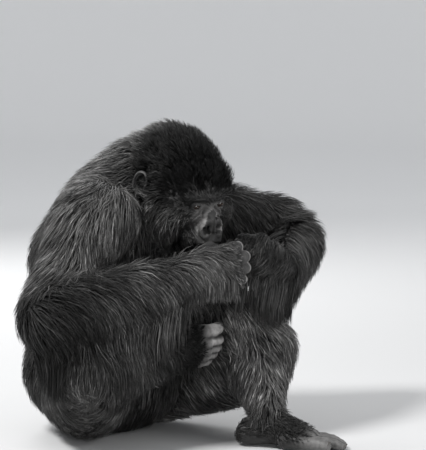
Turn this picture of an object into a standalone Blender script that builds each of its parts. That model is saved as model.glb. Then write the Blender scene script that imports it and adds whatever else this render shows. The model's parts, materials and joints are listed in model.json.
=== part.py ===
"""A sitting mountain gorilla, life size, as a still museum model: the outer
form of the coat and the bare skin, parted where a person would name the parts.

Frame: metres, +Z up, floor at z = 0. The animal faces -Y, its right side is at
-X. All sizes below are given in the animal's own terms: (forward, right, up).
"""
import math

import bmesh
import bpy
from mathutils import Matrix, Vector

# ---------------------------------------------------------------- dimensions
GAP = 0.0003            # clearance between neighbouring parts
SHOULDER_R = (0.100, 0.200, 0.530)
SHOULDER_L = (0.125, -0.192, 0.507)
ELBOW_R = (0.130, 0.415, 0.335)
ELBOW_L = (0.255, -0.400, 0.444)
WRIST_R = (0.309, 0.125, 0.414)
WRIST_L = (0.360, -0.165, 0.402)
KNUCKLE_R = (0.386, 0.028, 0.4315)
KNUCKLE_L = (0.370, -0.058, 0.440)
HIP_R = (0.000, 0.115, 0.115)
HIP_L = (0.000, -0.115, 0.115)
KNEE_R = (0.170, 0.345, 0.185)
KNEE_L = (0.325, -0.155, 0.2055)
ANKLE_R = (0.258, 0.113, 0.228)
ANKLE_L = (0.425, -0.025, 0.062)
HEAD_ORIGIN = (0.1682, -0.0010, 0.6081)   # midpoint between the ear openings
HEAD_YAW = 18.5         # degrees, turned towards its right
HEAD_ROLL = 2.5         # degrees, tilted towards its right shoulder
HEAD_PITCH = 14.5       # degrees, nose down
EYE_RADIUS = 0.0125
EYE_APART = 0.068
EYE_LEVEL = -0.011      # below the ear axis


# ------------------------------------------------------------------- frames
def at(f, r, u):
    """A point given as forward, right, up, in the model's frame."""
    return Vector((-r, -f, u))


def frame(origin, along, back):
    """A limb frame: x along the limb, z out of its back, y across (towards the
    animal's left-hand rule)."""
    a = Vector(along).normalized()
    c = Vector(back)
    c = (c - a * c.dot(a)).normalized()
    b = c.cross(a)
    m = Matrix.Identity(4)
    for i, axis in enumerate((a, b, c)):
        for k in range(3):
            m[k][i] = axis[k]
    m.translation = Vector(origin)
    return m


BODY = Matrix(((0, -1, 0, 0), (-1, 0, 0, 0), (0, 0, 1, 0), (0, 0, 0, 1)))


def head_matrix():
    """Columns: forward, right and up of the head, about the ear axis."""
    y, p = math.radians(HEAD_YAW), math.radians(HEAD_PITCH)
    fwd = at(math.cos(y) * math.cos(p), math.sin(y) * math.cos(p), -math.sin(p))
    right = at(-math.sin(y), math.cos(y), 0.0)
    up = at(math.cos(y) * math.sin(p), math.sin(y) * math.sin(p), math.cos(p))
    c, r = math.cos(math.radians(HEAD_ROLL)), math.sin(math.radians(HEAD_ROLL))
    right, up = right * c - up * r, right * r + up * c
    m = Matrix.Identity(4)
    for i, axis in enumerate((fwd, right, up)):
        for k in range(3):
            m[k][i] = axis[k]
    m.translation = at(*HEAD_ORIGIN)
    return m


HEAD = head_matrix()


# ------------------------------------------------------------------- shapes
def ball(centre, radii, turn=None):
    """An ellipsoid mass: centre and half sizes in the local axes of a part,
    with an optional turn of its own."""
    if not hasattr(radii, "__len__"):
        radii = (radii, radii, radii)
    m = Matrix.Translation(Vector(centre))
    if turn is not None:
        m = m @ turn
    return m @ Matrix.Diagonal((radii[0], radii[1], radii[2], 1.0))


def lerp(a, b, t):
    return tuple(x + (y - x) * t for x, y in zip(a, b))


def add_hull(bm, masses, to_world):
    """The convex skin round one, two or more masses, added to bm."""
    one = bmesh.new()
    for m in masses:
        bmesh.ops.create_icosphere(one, subdivisions=3, radius=1.0, matrix=to_world @ m)
    made = bmesh.ops.convex_hull(one, input=one.verts[:])
    loose = [g for g in made["geom_interior"] if isinstance(g, bmesh.types.BMVert)]
    bmesh.ops.delete(one, geom=loose, context="VERTS")
    for v in [v for v in one.verts if not v.link_faces]:
        one.verts.remove(v)
    bmesh.ops.recalc_face_normals(one, faces=one.faces[:])
    mesh = bpy.data.meshes.new("hull")
    one.to_mesh(mesh)
    one.free()
    bm.from_mesh(mesh)
    bpy.data.meshes.remove(mesh)


def evaluated(obj):
    mesh = bpy.data.meshes.new_from_object(obj.evaluated_get(bpy.context.evaluated_depsgraph_get()))
    return mesh


def largest_body(mesh):
    """Keeps the biggest connected piece of a mesh."""
    bm = bmesh.new()
    bm.from_mesh(mesh)
    bm.verts.ensure_lookup_table()
    seen, islands = set(), []
    for v in bm.verts:
        if v.index in seen:
            continue
        stack, island = [v], []
        seen.add(v.index)
        while stack:
            w = stack.pop()
            island.append(w)
            for e in w.link_edges:
                o = e.other_vert(w)
                if o.index not in seen:
                    seen.add(o.index)
                    stack.append(o)
        islands.append(island)
    if len(islands) > 1:
        def size(island):
            lo = [min(v.co[k] for v in island) for k in range(3)]
            hi = [max(v.co[k] for v in island) for k in range(3)]
            return (hi[0] - lo[0]) * (hi[1] - lo[1]) * (hi[2] - lo[2])
        islands.sort(key=size)
        bmesh.ops.delete(bm, geom=[v for i in islands[:-1] for v in i], context="VERTS")
    bmesh.ops.triangulate(bm, faces=bm.faces[:])
    bm.to_mesh(mesh)
    bm.free()


PARTS = None
CUTTERS = None
MADE = {}


def material(name, colour, roughness):
    mat = bpy.data.materials.new(name)
    mat.use_nodes = True
    bsdf = mat.node_tree.nodes["Principled BSDF"]
    bsdf.inputs["Base Color"].default_value = (*colour, 1.0)
    bsdf.inputs["Roughness"].default_value = roughness
    bsdf.inputs["Metallic"].default_value = 0.0
    return mat


def part(name, chains, to_world, voxel, triangles, smooth=4, colour=(0.03, 0.028, 0.027), roughness=0.7):
    """One named part: hulls round neighbouring masses, melted together on a
    voxel lattice, smoothed, and thinned to its share of triangles."""
    bm = bmesh.new()
    for chain in chains:
        if len(chain) == 1:
            add_hull(bm, chain, to_world)
        for first, second in zip(chain, chain[1:]):
            add_hull(bm, (first, second), to_world)
    mesh = bpy.data.meshes.new(name)
    bm.to_mesh(mesh)
    bm.free()
    obj = bpy.data.objects.new(name, mesh)
    PARTS.objects.link(obj)
    melt = obj.modifiers.new("melt", "REMESH")
    melt.mode = "VOXEL"
    melt.voxel_size = voxel
    soft = obj.modifiers.new("soft", "SMOOTH")
    soft.factor = 0.5
    soft.iterations = smooth
    fine = evaluated(obj)
    thin = obj.modifiers.new("thin", "DECIMATE")
    count = sum(len(p.vertices) - 2 for p in fine.polygons)
    thin.ratio = min(1.0, triangles / max(count, 1))
    thin.use_collapse_triangulate = True
    bpy.data.meshes.remove(fine)
    final = evaluated(obj)
    obj.modifiers.clear()
    obj.data = final
    bpy.data.meshes.remove(mesh)
    final.name = name
    largest_body(final)
    final.materials.clear()
    final.materials.append(material(name + "_finish", colour, roughness))
    for poly in final.polygons:
        poly.use_smooth = True
    MADE[name] = obj
    return obj


def box_of(obj, grow=0.001):
    xs = [[v.co[k] for v in obj.data.vertices] for k in range(3)]
    return [(min(x) - grow, max(x) + grow) for x in xs]


def apart(a, b):
    return any(p[1] < q[0] or q[1] < p[0] for p, q in zip(box_of(a), box_of(b)))


def cut(obj, cutter):
    """Takes the cutter's space, and the gap round it, out of obj."""
    mod = obj.modifiers.new("cut", "BOOLEAN")
    mod.operation = "DIFFERENCE"
    mod.solver = "EXACT"
    mod.object = cutter
    new = evaluated(obj)
    old = obj.data
    obj.modifiers.clear()
    obj.data = new
    bpy.data.meshes.remove(old)
    new.name = obj.name
    largest_body(new)


def swollen(obj, by=GAP):
    """A copy of a part grown outwards by the gap, used as a cutter."""
    copy = obj.copy()
    copy.data = obj.data.copy()
    copy.name = obj.name + "_room"
    CUTTERS.objects.link(copy)
    copy.hide_render = True
    copy.display_type = "WIRE"
    normals = [v.normal.copy() for v in copy.data.vertices]
    for v, n in zip(copy.data.vertices, normals):
        v.co += n * by * 1.35
    return copy


# ------------------------------------------------------------------- digits
def digit(base, lengths, radii, bends, splay=0.0, twist=0.0):
    """The joints of a finger or toe from its knuckle out, in the limb frame:
    x runs along the limb, z out of its back. Bends are in degrees, towards the
    palm or sole; splay turns the digit across the limb; twist rolls the plane
    it bends in."""
    place = Vector(base)
    turn = Matrix.Rotation(math.radians(splay), 3, "Z") @ Matrix.Rotation(math.radians(twist), 3, "X")
    chain = [ball(place, radii[0])]
    angle = 0.0
    for length, radius, bend in zip(lengths, radii[1:], bends):
        angle += math.radians(bend)
        place = place + turn @ Vector((math.cos(angle), 0.0, -math.sin(angle))) * length
        chain.append(ball(place, radius))
    return chain


def hand(name, wrist, knuckles, back, side, bends, thumb, triangles):
    """A closed hand. side is +1 where +y of the limb frame is the index side."""
    w, k = at(*wrist), at(*knuckles)
    to_world = frame(w, k - w, at(*back))
    long = (k - w).length
    chains = [[ball((-0.012, 0, 0), (0.030, 0.040, 0.034)),
               ball((long * 0.45, 0.0, 0.002), (0.03, 0.050, 0.030)),
               ball((long * 0.80, 0.0, 0.000), (0.022, 0.054, 0.024))]]
    across = (0.0385, 0.0135, -0.0125, -0.0370)
    reach = (-0.012, 0.0, -0.002, -0.012)
    size = (1.0, 1.06, 1.0, 0.86)
    for y, x, s in zip(across, reach, size):
        chains.append(digit((long + x - 0.004, side * y, -0.004),
                            (0.046 * s, 0.030 * s, 0.020 * s),
                            (0.0165 * s, 0.0155 * s, 0.0145 * s, 0.0125 * s), bends))
    chains.append([ball((0.02, side * 0.030, -0.010), 0.020),
                   ball((thumb[0], side * thumb[1], thumb[2]), 0.0155),
                   ball((thumb[3], side * thumb[4], thumb[5]), 0.0125)])
    return part(name, chains, to_world, 0.0042, triangles, smooth=2, colour=(0.06, 0.055, 0.052), roughness=0.55)


def foot(name, ankle, toes, back, side, bends, sole, triangles, spread, splay):
    """A foot. side is +1 where +y of the limb frame is the big toe's side, and
    spread draws the toes together or apart and splay turns the big toe out."""
    a, t = at(*ankle), at(*toes)
    to_world = frame(a, t - a, at(*back))
    chains = [[ball((-0.050, 0, sole + 0.033), (0.034, 0.033, 0.033)),
               ball((0.005, 0.0, sole + 0.045), (0.040, 0.040, 0.045)),
               ball((0.060, 0.0, sole + 0.034), (0.035, 0.044, 0.033)),
               ball((0.098, side * -0.004, sole + 0.024), (0.022, 0.049 * spread, 0.024))]]
    across = (0.0225, 0.0005, -0.0205, -0.0395)
    reach = (0.004, 0.004, -0.003, -0.014)
    for y, x in zip(across, reach):
        chains.append(digit((0.110 + x, side * y * spread, sole + 0.020), (0.026, 0.019, 0.014),
                            (0.0150, 0.0130, 0.0125, 0.0115), bends))
    chains.append([ball((0.045, side * 0.030, sole + 0.024), 0.023)] +
                  digit((0.085, side * 0.050 * spread, sole + 0.021), (0.034, 0.026),
                        (0.0175, 0.0170, 0.0155), (bends[0], bends[1] * 0.6), splay=side * splay))
    return part(name, chains, to_world, 0.0042, triangles, smooth=2, colour=(0.06, 0.055, 0.052), roughness=0.55)


def build():
    global PARTS, CUTTERS
    for obj in list(bpy.data.objects):
        bpy.data.objects.remove(obj, do_unlink=True)
    PARTS = bpy.data.collections.new("gorilla")
    CUTTERS = bpy.data.collections.new("cutters")
    bpy.context.scene.collection.children.link(PARTS)
    bpy.context.scene.collection.children.link(CUTTERS)

    # ---- eyes and ears
    for side, tag in ((1, "right"), (-1, "left")):
        part("eye_" + tag, [[ball((0.1365, side * EYE_APART / 2, EYE_LEVEL), EYE_RADIUS)]], HEAD, 0.0018, 72,
             smooth=1, colour=(0.02, 0.012, 0.008), roughness=0.1)
        lean = Matrix.Rotation(math.radians(side * -14.0), 4, "Z") @ Matrix.Rotation(math.radians(12.0), 4, "Y")
        part("ear_" + tag, [[ball((0.030, side * 0.1135, 0.016), (0.0205, 0.0075, 0.033), lean),
                             ball((0.026, side * 0.1050, 0.010), (0.0150, 0.0080, 0.024), lean)]], HEAD, 0.003, 124,
             smooth=2, colour=(0.05, 0.045, 0.043), roughness=0.6)

    # ---- head: crown and cheeks to the tips of their hair, the bare face between
    part("head", [
        [ball((-0.006, 0, 0.022), (0.146, 0.116, 0.120))],                    # crown
        [ball((-0.040, 0, 0.045), (0.090, 0.060, 0.098))],                    # crest of the crown
        [ball((0.055, 0.066, -0.020), (0.100, 0.054, 0.094)),                 # right cheek
         ball((0.042, 0.050, -0.095), (0.080, 0.052, 0.062))],
        [ball((0.055, -0.066, -0.020), (0.100, 0.054, 0.094)),                # left cheek
         ball((0.042, -0.050, -0.095), (0.080, 0.052, 0.062))],
        [ball((0.020, 0, -0.050), (0.095, 0.080, 0.080))],                    # throat
        [ball((0.138, 0.050, 0.018), 0.0190), ball((0.149, 0, 0.017), 0.0190),
         ball((0.138, -0.050, 0.018), 0.0190)],                               # brow ridge
        [ball((0.120, 0.040, -0.012), (0.018, 0.026, 0.034)),
         ball((0.120, -0.040, -0.012), (0.018, 0.026, 0.034))],               # cheekbones
        [ball((0.137, 0, 0.000), (0.014, 0.013, 0.014)),
         ball((0.153, 0, -0.040), (0.022, 0.022, 0.024))],                    # nose bridge
        [ball((0.157, 0.017, -0.053), (0.023, 0.017, 0.023)),
         ball((0.157, -0.017, -0.053), (0.023, 0.017, 0.023))],               # nose wings
        [ball((0.110, 0, -0.062), (0.060, 0.058, 0.045)),
         ball((0.134, 0, -0.084), (0.050, 0.047, 0.033))],                    # upper lip
        [ball((0.130, 0, -0.094), (0.046, 0.042, 0.026)),
         ball((0.112, 0, -0.116), (0.044, 0.034, 0.022))],                    # lower lip and chin
    ], HEAD, 0.0058, 820, smooth=3)

    # ---- arms
    def limb(name, a, b, masses, triangles, voxel=0.010):
        """masses: (t along the bone, shift (f, r, u), radii (f, r, u))"""
        chain = []
        for t, shift, radii in masses:
            p = lerp(a, b, t)
            chain.append(ball([x + y for x, y in zip(p, shift)], radii))
        part(name, [chain], BODY, voxel, triangles)

    hand("hand_right", WRIST_R, KNUCKLE_R, (0.767, 0.626, 0.14), 1, (62, 88, 50),
         (0.060, 0.050, -0.028, 0.085, 0.036, -0.050), 415)
    hand("hand_left", WRIST_L, KNUCKLE_L, (0.93, -0.05, 0.10), -1, (58, 85, 50),
         (0.060, 0.050, -0.028, 0.085, 0.036, -0.050), 390)
    limb("forearm_right", ELBOW_R, WRIST_R, [
        (-0.02, (0.00, 0.005, -0.010), (0.084, 0.086, 0.094)),
        (0.16, (0.00, 0.005, -0.012), (0.090, 0.090, 0.104)),
        (0.36, (0.00, 0.00, -0.020), (0.082, 0.082, 0.104)),
        (0.66, (0.00, 0.00, -0.014), (0.064, 0.064, 0.086)),
        (1.00, (0.00, 0.00, -0.003), (0.050, 0.048, 0.056))], 230)
    limb("forearm_left", ELBOW_L, WRIST_L, [
        (-0.02, (0.00, 0.000, -0.006), (0.073, 0.073, 0.080)),
        (0.20, (0.00, 0.00, -0.012), (0.078, 0.078, 0.092)),
        (0.45, (0.00, 0.00, -0.020), (0.072, 0.072, 0.092)),
        (0.75, (0.00, 0.00, -0.016), (0.056, 0.056, 0.076)),
        (1.00, (0.00, 0.00, 0.000), (0.046, 0.046, 0.052))], 240)
    limb("upper_arm_right", SHOULDER_R, ELBOW_R, [
        (-0.02, (-0.015, -0.01, 0.00), (0.112, 0.100, 0.104)),
        (0.22, (-0.005, 0.010, 0.010), (0.104, 0.094, 0.100)),
        (0.60, (-0.008, 0.00, -0.004), (0.086, 0.082, 0.090)),
        (0.97, (-0.015, 0.00, 0.00), (0.080, 0.080, 0.082))], 240)
    limb("upper_arm_left", SHOULDER_L, ELBOW_L, [
        (-0.02, (-0.015, 0.01, 0.00), (0.106, 0.098, 0.096)),
        (0.22, (-0.005, 0.00, 0.006), (0.098, 0.092, 0.092)),
        (0.60, (-0.008, 0.00, 0.008), (0.084, 0.084, 0.092)),
        (0.82, (-0.008, 0.00, 0.018), (0.080, 0.080, 0.086)),
        (0.97, (-0.008, 0.00, 0.004), (0.072, 0.072, 0.074))], 230)

    # ---- legs
    foot("foot_right", ANKLE_R, (0.304, -0.026, 0.206), (0.93, 0.20, -0.25), 1, (16, 26, 22), -0.050, 430, 0.84, 3.0)
    foot("foot_left", ANKLE_L, (0.590, -0.090, 0.062), (0.0, 0.0, 1.0), -1, (-2, 14, 14), -0.063, 420, 1.0, 14.0)
    limb("shin_right", KNEE_R, ANKLE_R, [
        (0.03, (0.00, 0.00, -0.004), (0.078, 0.078, 0.078)),
        (0.30, (-0.010, 0.00, -0.012), (0.074, 0.074, 0.080)),
        (0.60, (-0.006, 0.00, -0.008), (0.058, 0.060, 0.068)),
        (1.00, (0.00, 0.00, -0.003), (0.045, 0.045, 0.047))], 200)
    limb("shin_left", KNEE_L, ANKLE_L, [
        (0.03, (0.002, 0.00, -0.004), (0.080, 0.076, 0.078)),
        (0.32, (-0.026, 0.00, -0.008), (0.082, 0.072, 0.084)),
        (0.62, (-0.016, 0.00, -0.002), (0.062, 0.058, 0.064)),
        (1.00, (-0.004, 0.00, 0.004), (0.044, 0.044, 0.044))], 200)
    limb("thigh_right", HIP_R, KNEE_R, [
        (0.00, (0.00, 0.00, 0.00), (0.125, 0.120, 0.122)),
        (0.35, (0.00, 0.00, -0.006), (0.114, 0.110, 0.122)),
        (0.70, (0.00, 0.00, -0.012), (0.096, 0.094, 0.106)),
        (1.00, (0.00, 0.00, 0.00), (0.084, 0.084, 0.086))], 230)
    limb("thigh_left", HIP_L, KNEE_L, [
        (0.00, (0.00, 0.00, 0.00), (0.125, 0.120, 0.122)),
        (0.35, (0.00, 0.00, 0.018), (0.116, 0.112, 0.145)),
        (0.70, (0.00, 0.00, 0.024), (0.104, 0.100, 0.155)),
        (0.85, (0.00, 0.00, 0.014), (0.094, 0.094, 0.138)),
        (1.00, (0.00, 0.00, 0.00), (0.086, 0.084, 0.088))], 230)

    # ---- trunk
    part("chest", [
        [ball((0.010, 0, 0.415), (0.208, 0.258, 0.165)),
         ball((0.030, 0, 0.520), (0.160, 0.205, 0.125))],
        [ball((0.030, 0.09, 0.520), (0.135, 0.125, 0.120)),
         ball((0.040, -0.09, 0.515), (0.135, 0.125, 0.120))]], BODY, 0.011, 370, smooth=8)
    part("abdomen", [
        [ball((0.006, 0, 0.325), (0.202, 0.250, 0.165)),
         ball((0.004, 0, 0.235), (0.208, 0.246, 0.150)),
         ball((-0.024, 0, 0.150), (0.198, 0.240, 0.165))],
        [ball((0.040, -0.02, 0.290), (0.186, 0.200, 0.150)),
         ball((0.125, -0.050, 0.275), (0.135, 0.155, 0.125))]], BODY, 0.011, 330, smooth=8)
    part("neck", [
        [ball((0.025, 0, 0.560), (0.140, 0.165, 0.110)),
         ball((0.095, 0.0, 0.622), (0.128, 0.118, 0.112))]], BODY, 0.010, 170, smooth=6)

    def slab(name, low, high):
        """A box between two corners, for flat cuts."""
        bpy.ops.mesh.primitive_cube_add(size=1.0, location=[(a + b) / 2 for a, b in zip(low, high)])
        box = bpy.context.object
        box.name = name
        box.scale = [b - a for a, b in zip(low, high)]
        bpy.ops.object.transform_apply(location=True, scale=True)
        for c in list(box.users_collection):
            c.objects.unlink(box)
        CUTTERS.objects.link(box)
        box.hide_render = True
        box.display_type = "WIRE"
        return box

    # ---- floor: everything below it is taken off, which leaves small flats
    floor = slab("floor_cut", (-1.5, -1.5, -0.5), (1.5, 1.5, 0.0))
    for obj in MADE.values():
        if min(v.co.z for v in obj.data.vertices) < 0.0:
            cut(obj, floor)

    # ---- flat joints: the waist, and each thigh at the front of the pelvis
    cut(MADE["chest"], slab("waist_below", (-1.0, -1.0, -0.2), (1.0, 1.0, 0.385)))
    cut(MADE["abdomen"], slab("waist_above", (-1.0, -1.0, 0.3847), (1.0, 1.0, 1.2)))
    hip = slab("hip_behind", (-1.0, -0.055, -0.2), (1.0, 1.0, 1.2))
    cut(MADE["thigh_right"], hip)
    cut(MADE["thigh_left"], hip)

    # ---- each part gives way to the ones before it in this list
    order = ["eye_right", "eye_left", "ear_right", "ear_left", "head", "hand_right", "hand_left", "foot_right",
             "foot_left", "forearm_right", "forearm_left", "shin_right", "shin_left", "upper_arm_right",
             "upper_arm_left", "thigh_right", "thigh_left", "abdomen", "chest", "neck"]
    for i, name in enumerate(order):
        obj = MADE[name]
        for earlier in order[:i]:
            other = MADE[earlier]
            if not apart(obj, other):
                room = swollen(other)
                cut(obj, room)


build()
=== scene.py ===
import sys

import json
import math

import bmesh
import bpy
import numpy as np
from mathutils import Matrix, Vector
from mathutils.bvhtree import BVHTree
from mathutils.kdtree import KDTree
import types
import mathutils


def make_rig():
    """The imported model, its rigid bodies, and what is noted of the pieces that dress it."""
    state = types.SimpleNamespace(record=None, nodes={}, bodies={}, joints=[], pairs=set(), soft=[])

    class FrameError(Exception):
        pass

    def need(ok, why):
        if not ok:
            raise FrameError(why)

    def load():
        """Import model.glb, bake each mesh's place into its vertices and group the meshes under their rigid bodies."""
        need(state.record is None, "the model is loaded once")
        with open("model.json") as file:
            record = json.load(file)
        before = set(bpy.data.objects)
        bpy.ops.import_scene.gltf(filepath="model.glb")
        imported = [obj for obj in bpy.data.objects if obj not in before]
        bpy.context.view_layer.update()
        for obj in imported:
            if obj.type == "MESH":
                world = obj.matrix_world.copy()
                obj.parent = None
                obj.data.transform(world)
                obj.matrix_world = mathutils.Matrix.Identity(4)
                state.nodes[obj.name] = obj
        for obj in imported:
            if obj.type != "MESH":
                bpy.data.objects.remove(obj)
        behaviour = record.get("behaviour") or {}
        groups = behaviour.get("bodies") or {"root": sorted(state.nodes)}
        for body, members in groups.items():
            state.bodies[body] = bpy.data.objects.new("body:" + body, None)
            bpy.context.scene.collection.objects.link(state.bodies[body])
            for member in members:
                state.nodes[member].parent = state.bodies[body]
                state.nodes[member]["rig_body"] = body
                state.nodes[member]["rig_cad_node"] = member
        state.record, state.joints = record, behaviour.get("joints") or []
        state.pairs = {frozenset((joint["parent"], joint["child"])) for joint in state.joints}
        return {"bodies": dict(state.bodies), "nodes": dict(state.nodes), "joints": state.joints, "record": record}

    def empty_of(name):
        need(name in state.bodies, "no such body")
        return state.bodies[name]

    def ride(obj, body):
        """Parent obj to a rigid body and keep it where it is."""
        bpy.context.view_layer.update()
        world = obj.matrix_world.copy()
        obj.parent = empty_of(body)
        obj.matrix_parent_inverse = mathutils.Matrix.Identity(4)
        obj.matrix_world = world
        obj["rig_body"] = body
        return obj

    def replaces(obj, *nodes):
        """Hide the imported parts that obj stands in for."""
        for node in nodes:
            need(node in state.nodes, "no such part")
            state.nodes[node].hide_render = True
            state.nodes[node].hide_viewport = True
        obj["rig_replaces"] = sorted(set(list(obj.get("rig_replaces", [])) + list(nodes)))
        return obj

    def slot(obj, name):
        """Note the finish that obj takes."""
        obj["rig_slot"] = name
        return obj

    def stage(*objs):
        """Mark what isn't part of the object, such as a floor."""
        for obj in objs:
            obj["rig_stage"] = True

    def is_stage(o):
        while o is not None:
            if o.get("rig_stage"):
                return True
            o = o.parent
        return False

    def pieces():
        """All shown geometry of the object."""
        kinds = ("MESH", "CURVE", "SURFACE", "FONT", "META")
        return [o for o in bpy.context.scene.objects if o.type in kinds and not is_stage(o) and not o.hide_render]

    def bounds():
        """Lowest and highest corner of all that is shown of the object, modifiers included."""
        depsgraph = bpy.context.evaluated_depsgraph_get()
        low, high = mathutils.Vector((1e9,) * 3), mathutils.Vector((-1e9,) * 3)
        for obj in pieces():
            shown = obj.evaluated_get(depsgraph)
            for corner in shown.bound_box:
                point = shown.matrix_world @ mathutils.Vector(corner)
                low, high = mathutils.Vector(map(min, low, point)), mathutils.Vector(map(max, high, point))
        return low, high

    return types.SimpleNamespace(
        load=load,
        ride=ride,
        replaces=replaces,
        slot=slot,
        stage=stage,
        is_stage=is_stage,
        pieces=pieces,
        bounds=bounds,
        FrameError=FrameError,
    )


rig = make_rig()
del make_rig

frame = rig.load()
CAD_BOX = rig.bounds()
RNG = np.random.default_rng(7)
scene = bpy.context.scene

# =====================================================================
# sizes: the same masses as the solids, taken in by the depth of the coat
# =====================================================================
SHOULDER_R = (0.100, 0.200, 0.530)
SHOULDER_L = (0.125, -0.192, 0.507)
ELBOW_R = (0.130, 0.415, 0.335)
ELBOW_L = (0.255, -0.400, 0.444)
WRIST_R = (0.309, 0.125, 0.414)
WRIST_L = (0.360, -0.165, 0.402)
KNUCKLE_R = (0.386, 0.028, 0.4315)
KNUCKLE_L = (0.370, -0.058, 0.440)
HIP_R = (0.000, 0.115, 0.115)
HIP_L = (0.000, -0.115, 0.115)
KNEE_R = (0.170, 0.345, 0.185)
KNEE_L = (0.325, -0.155, 0.2055)
ANKLE_R = (0.258, 0.113, 0.228)
ANKLE_L = (0.425, -0.025, 0.062)
HEAD_ORIGIN = (0.1682, -0.0010, 0.6081)
HEAD_YAW, HEAD_PITCH, HEAD_ROLL = 18.5, 14.5, 2.5
EYE_RADIUS, EYE_APART, EYE_LEVEL, EYE_FORWARD = 0.0125, 0.068, -0.011, 0.1365
FLOOR = 0.0


def at(f, r, u):
    return Vector((-r, -f, u))


def frame_of(origin, along, back):
    a = Vector(along).normalized()
    c = Vector(back)
    c = (c - a * c.dot(a)).normalized()
    b = c.cross(a)
    m = Matrix.Identity(4)
    for i, axis in enumerate((a, b, c)):
        for k in range(3):
            m[k][i] = axis[k]
    m.translation = Vector(origin)
    return m


BODY = Matrix(((0, -1, 0, 0), (-1, 0, 0, 0), (0, 0, 1, 0), (0, 0, 0, 1)))


def head_matrix():
    y, p = math.radians(HEAD_YAW), math.radians(HEAD_PITCH)
    axes = (at(math.cos(y) * math.cos(p), math.sin(y) * math.cos(p), -math.sin(p)),
            at(-math.sin(y), math.cos(y), 0.0),
            at(math.cos(y) * math.sin(p), math.sin(y) * math.sin(p), math.cos(p)))
    c, r = math.cos(math.radians(HEAD_ROLL)), math.sin(math.radians(HEAD_ROLL))
    axes = (axes[0], axes[1] * c - axes[2] * r, axes[1] * r + axes[2] * c)
    m = Matrix.Identity(4)
    for i, axis in enumerate(axes):
        for k in range(3):
            m[k][i] = axis[k]
    m.translation = at(*HEAD_ORIGIN)
    return m


HEAD = head_matrix()
HEAD_IN = np.array(HEAD.inverted())


def head_local(points):
    return points @ HEAD_IN[:3, :3].T + HEAD_IN[:3, 3]


def smoothstep(x, a, b):
    t = np.clip((x - a) / (b - a), 0.0, 1.0)
    return t * t * (3 - 2 * t)


def bell(x, width):
    return np.exp(-(x / width) ** 2)


# =====================================================================
# masses and hulls
# =====================================================================
class Mass:
    def __init__(self, centre, radii, depth=0.0, turn=None):
        if not hasattr(radii, "__len__"):
            radii = (radii, radii, radii)
        self.c = Vector(centre)
        self.r = tuple(max(0.004, x - depth) for x in radii)
        self.turn = turn

    def matrix(self):
        m = Matrix.Translation(self.c)
        if self.turn is not None:
            m = m @ self.turn
        return m @ Matrix.Diagonal((*self.r, 1.0))


def add_hull(bm, masses, to_world, detail=3):
    one = bmesh.new()
    for m in masses:
        bmesh.ops.create_icosphere(one, subdivisions=detail, radius=1.0, matrix=to_world @ m.matrix())
    made = bmesh.ops.convex_hull(one, input=one.verts[:])
    loose = [g for g in made["geom_interior"] if isinstance(g, bmesh.types.BMVert)]
    bmesh.ops.delete(one, geom=loose, context="VERTS")
    for v in [v for v in one.verts if not v.link_faces]:
        one.verts.remove(v)
    bmesh.ops.recalc_face_normals(one, faces=one.faces[:])
    mesh = bpy.data.meshes.new("hull")
    one.to_mesh(mesh)
    one.free()
    bm.from_mesh(mesh)
    bpy.data.meshes.remove(mesh)


def new_object(name, mesh):
    obj = bpy.data.objects.new(name, mesh)
    scene.collection.objects.link(obj)
    return obj


def hull_object(name, groups, detail=3):
    """groups: (chains of masses, matrix). One object with every hull in it."""
    bm = bmesh.new()
    for chains, to_world in groups:
        for chain in chains:
            if len(chain) == 1:
                add_hull(bm, chain, to_world, detail)
            for a, b in zip(chain, chain[1:]):
                add_hull(bm, (a, b), to_world, detail)
    mesh = bpy.data.meshes.new(name)
    bm.to_mesh(mesh)
    bm.free()
    return new_object(name, mesh)


def bake_modifiers(obj):
    made = bpy.data.meshes.new_from_object(obj.evaluated_get(bpy.context.evaluated_depsgraph_get()))
    old = obj.data
    obj.modifiers.clear()
    obj.data = made
    bpy.data.meshes.remove(old)
    return obj


def remesh(obj, voxel, smooth=2, factor=0.5):
    melt = obj.modifiers.new("melt", "REMESH")
    melt.mode = "VOXEL"
    melt.voxel_size = voxel
    if smooth:
        soft = obj.modifiers.new("soft", "SMOOTH")
        soft.factor = factor
        soft.iterations = smooth
    return bake_modifiers(obj)


def thin(obj, ratio):
    """Fewer triangles where the surface is smooth."""
    mod = obj.modifiers.new("thin", "DECIMATE")
    mod.ratio = ratio
    mod.use_collapse_triangulate = True
    return bake_modifiers(obj)


def combine(obj, other, operation):
    mod = obj.modifiers.new(operation, "BOOLEAN")
    mod.operation = operation
    mod.solver = "MANIFOLD"
    mod.object = other
    bake_modifiers(obj)
    bpy.data.objects.remove(other, do_unlink=True)
    return obj


def coords(mesh):
    co = np.empty(len(mesh.vertices) * 3, np.float32)
    mesh.vertices.foreach_get("co", co)
    return co.reshape(-1, 3).astype(float)


def normals(mesh):
    no = np.empty(len(mesh.vertices) * 3, np.float32)
    mesh.vertices.foreach_get("normal", no)
    return no.reshape(-1, 3).astype(float)


def put_coords(mesh, co):
    mesh.vertices.foreach_set("co", co.astype(np.float32).ravel())
    mesh.update()


def box_object(name, low, high, to_world):
    bm = bmesh.new()
    size = Vector(high) - Vector(low)
    mid = (Vector(high) + Vector(low)) / 2
    bmesh.ops.create_cube(bm, size=1.0, matrix=to_world @ Matrix.Translation(mid) @ Matrix.Diagonal((*size, 1.0)))
    bmesh.ops.recalc_face_normals(bm, faces=bm.faces[:])
    mesh = bpy.data.meshes.new(name)
    bm.to_mesh(mesh)
    bm.free()
    return new_object(name, mesh)


# =====================================================================
# the parts of the body
# =====================================================================
PARTS = {}      # name -> (chains, matrix)
TIPS = []
JOINTS = []       # (matrix, position, direction, across, up, radius) of each digit


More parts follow.
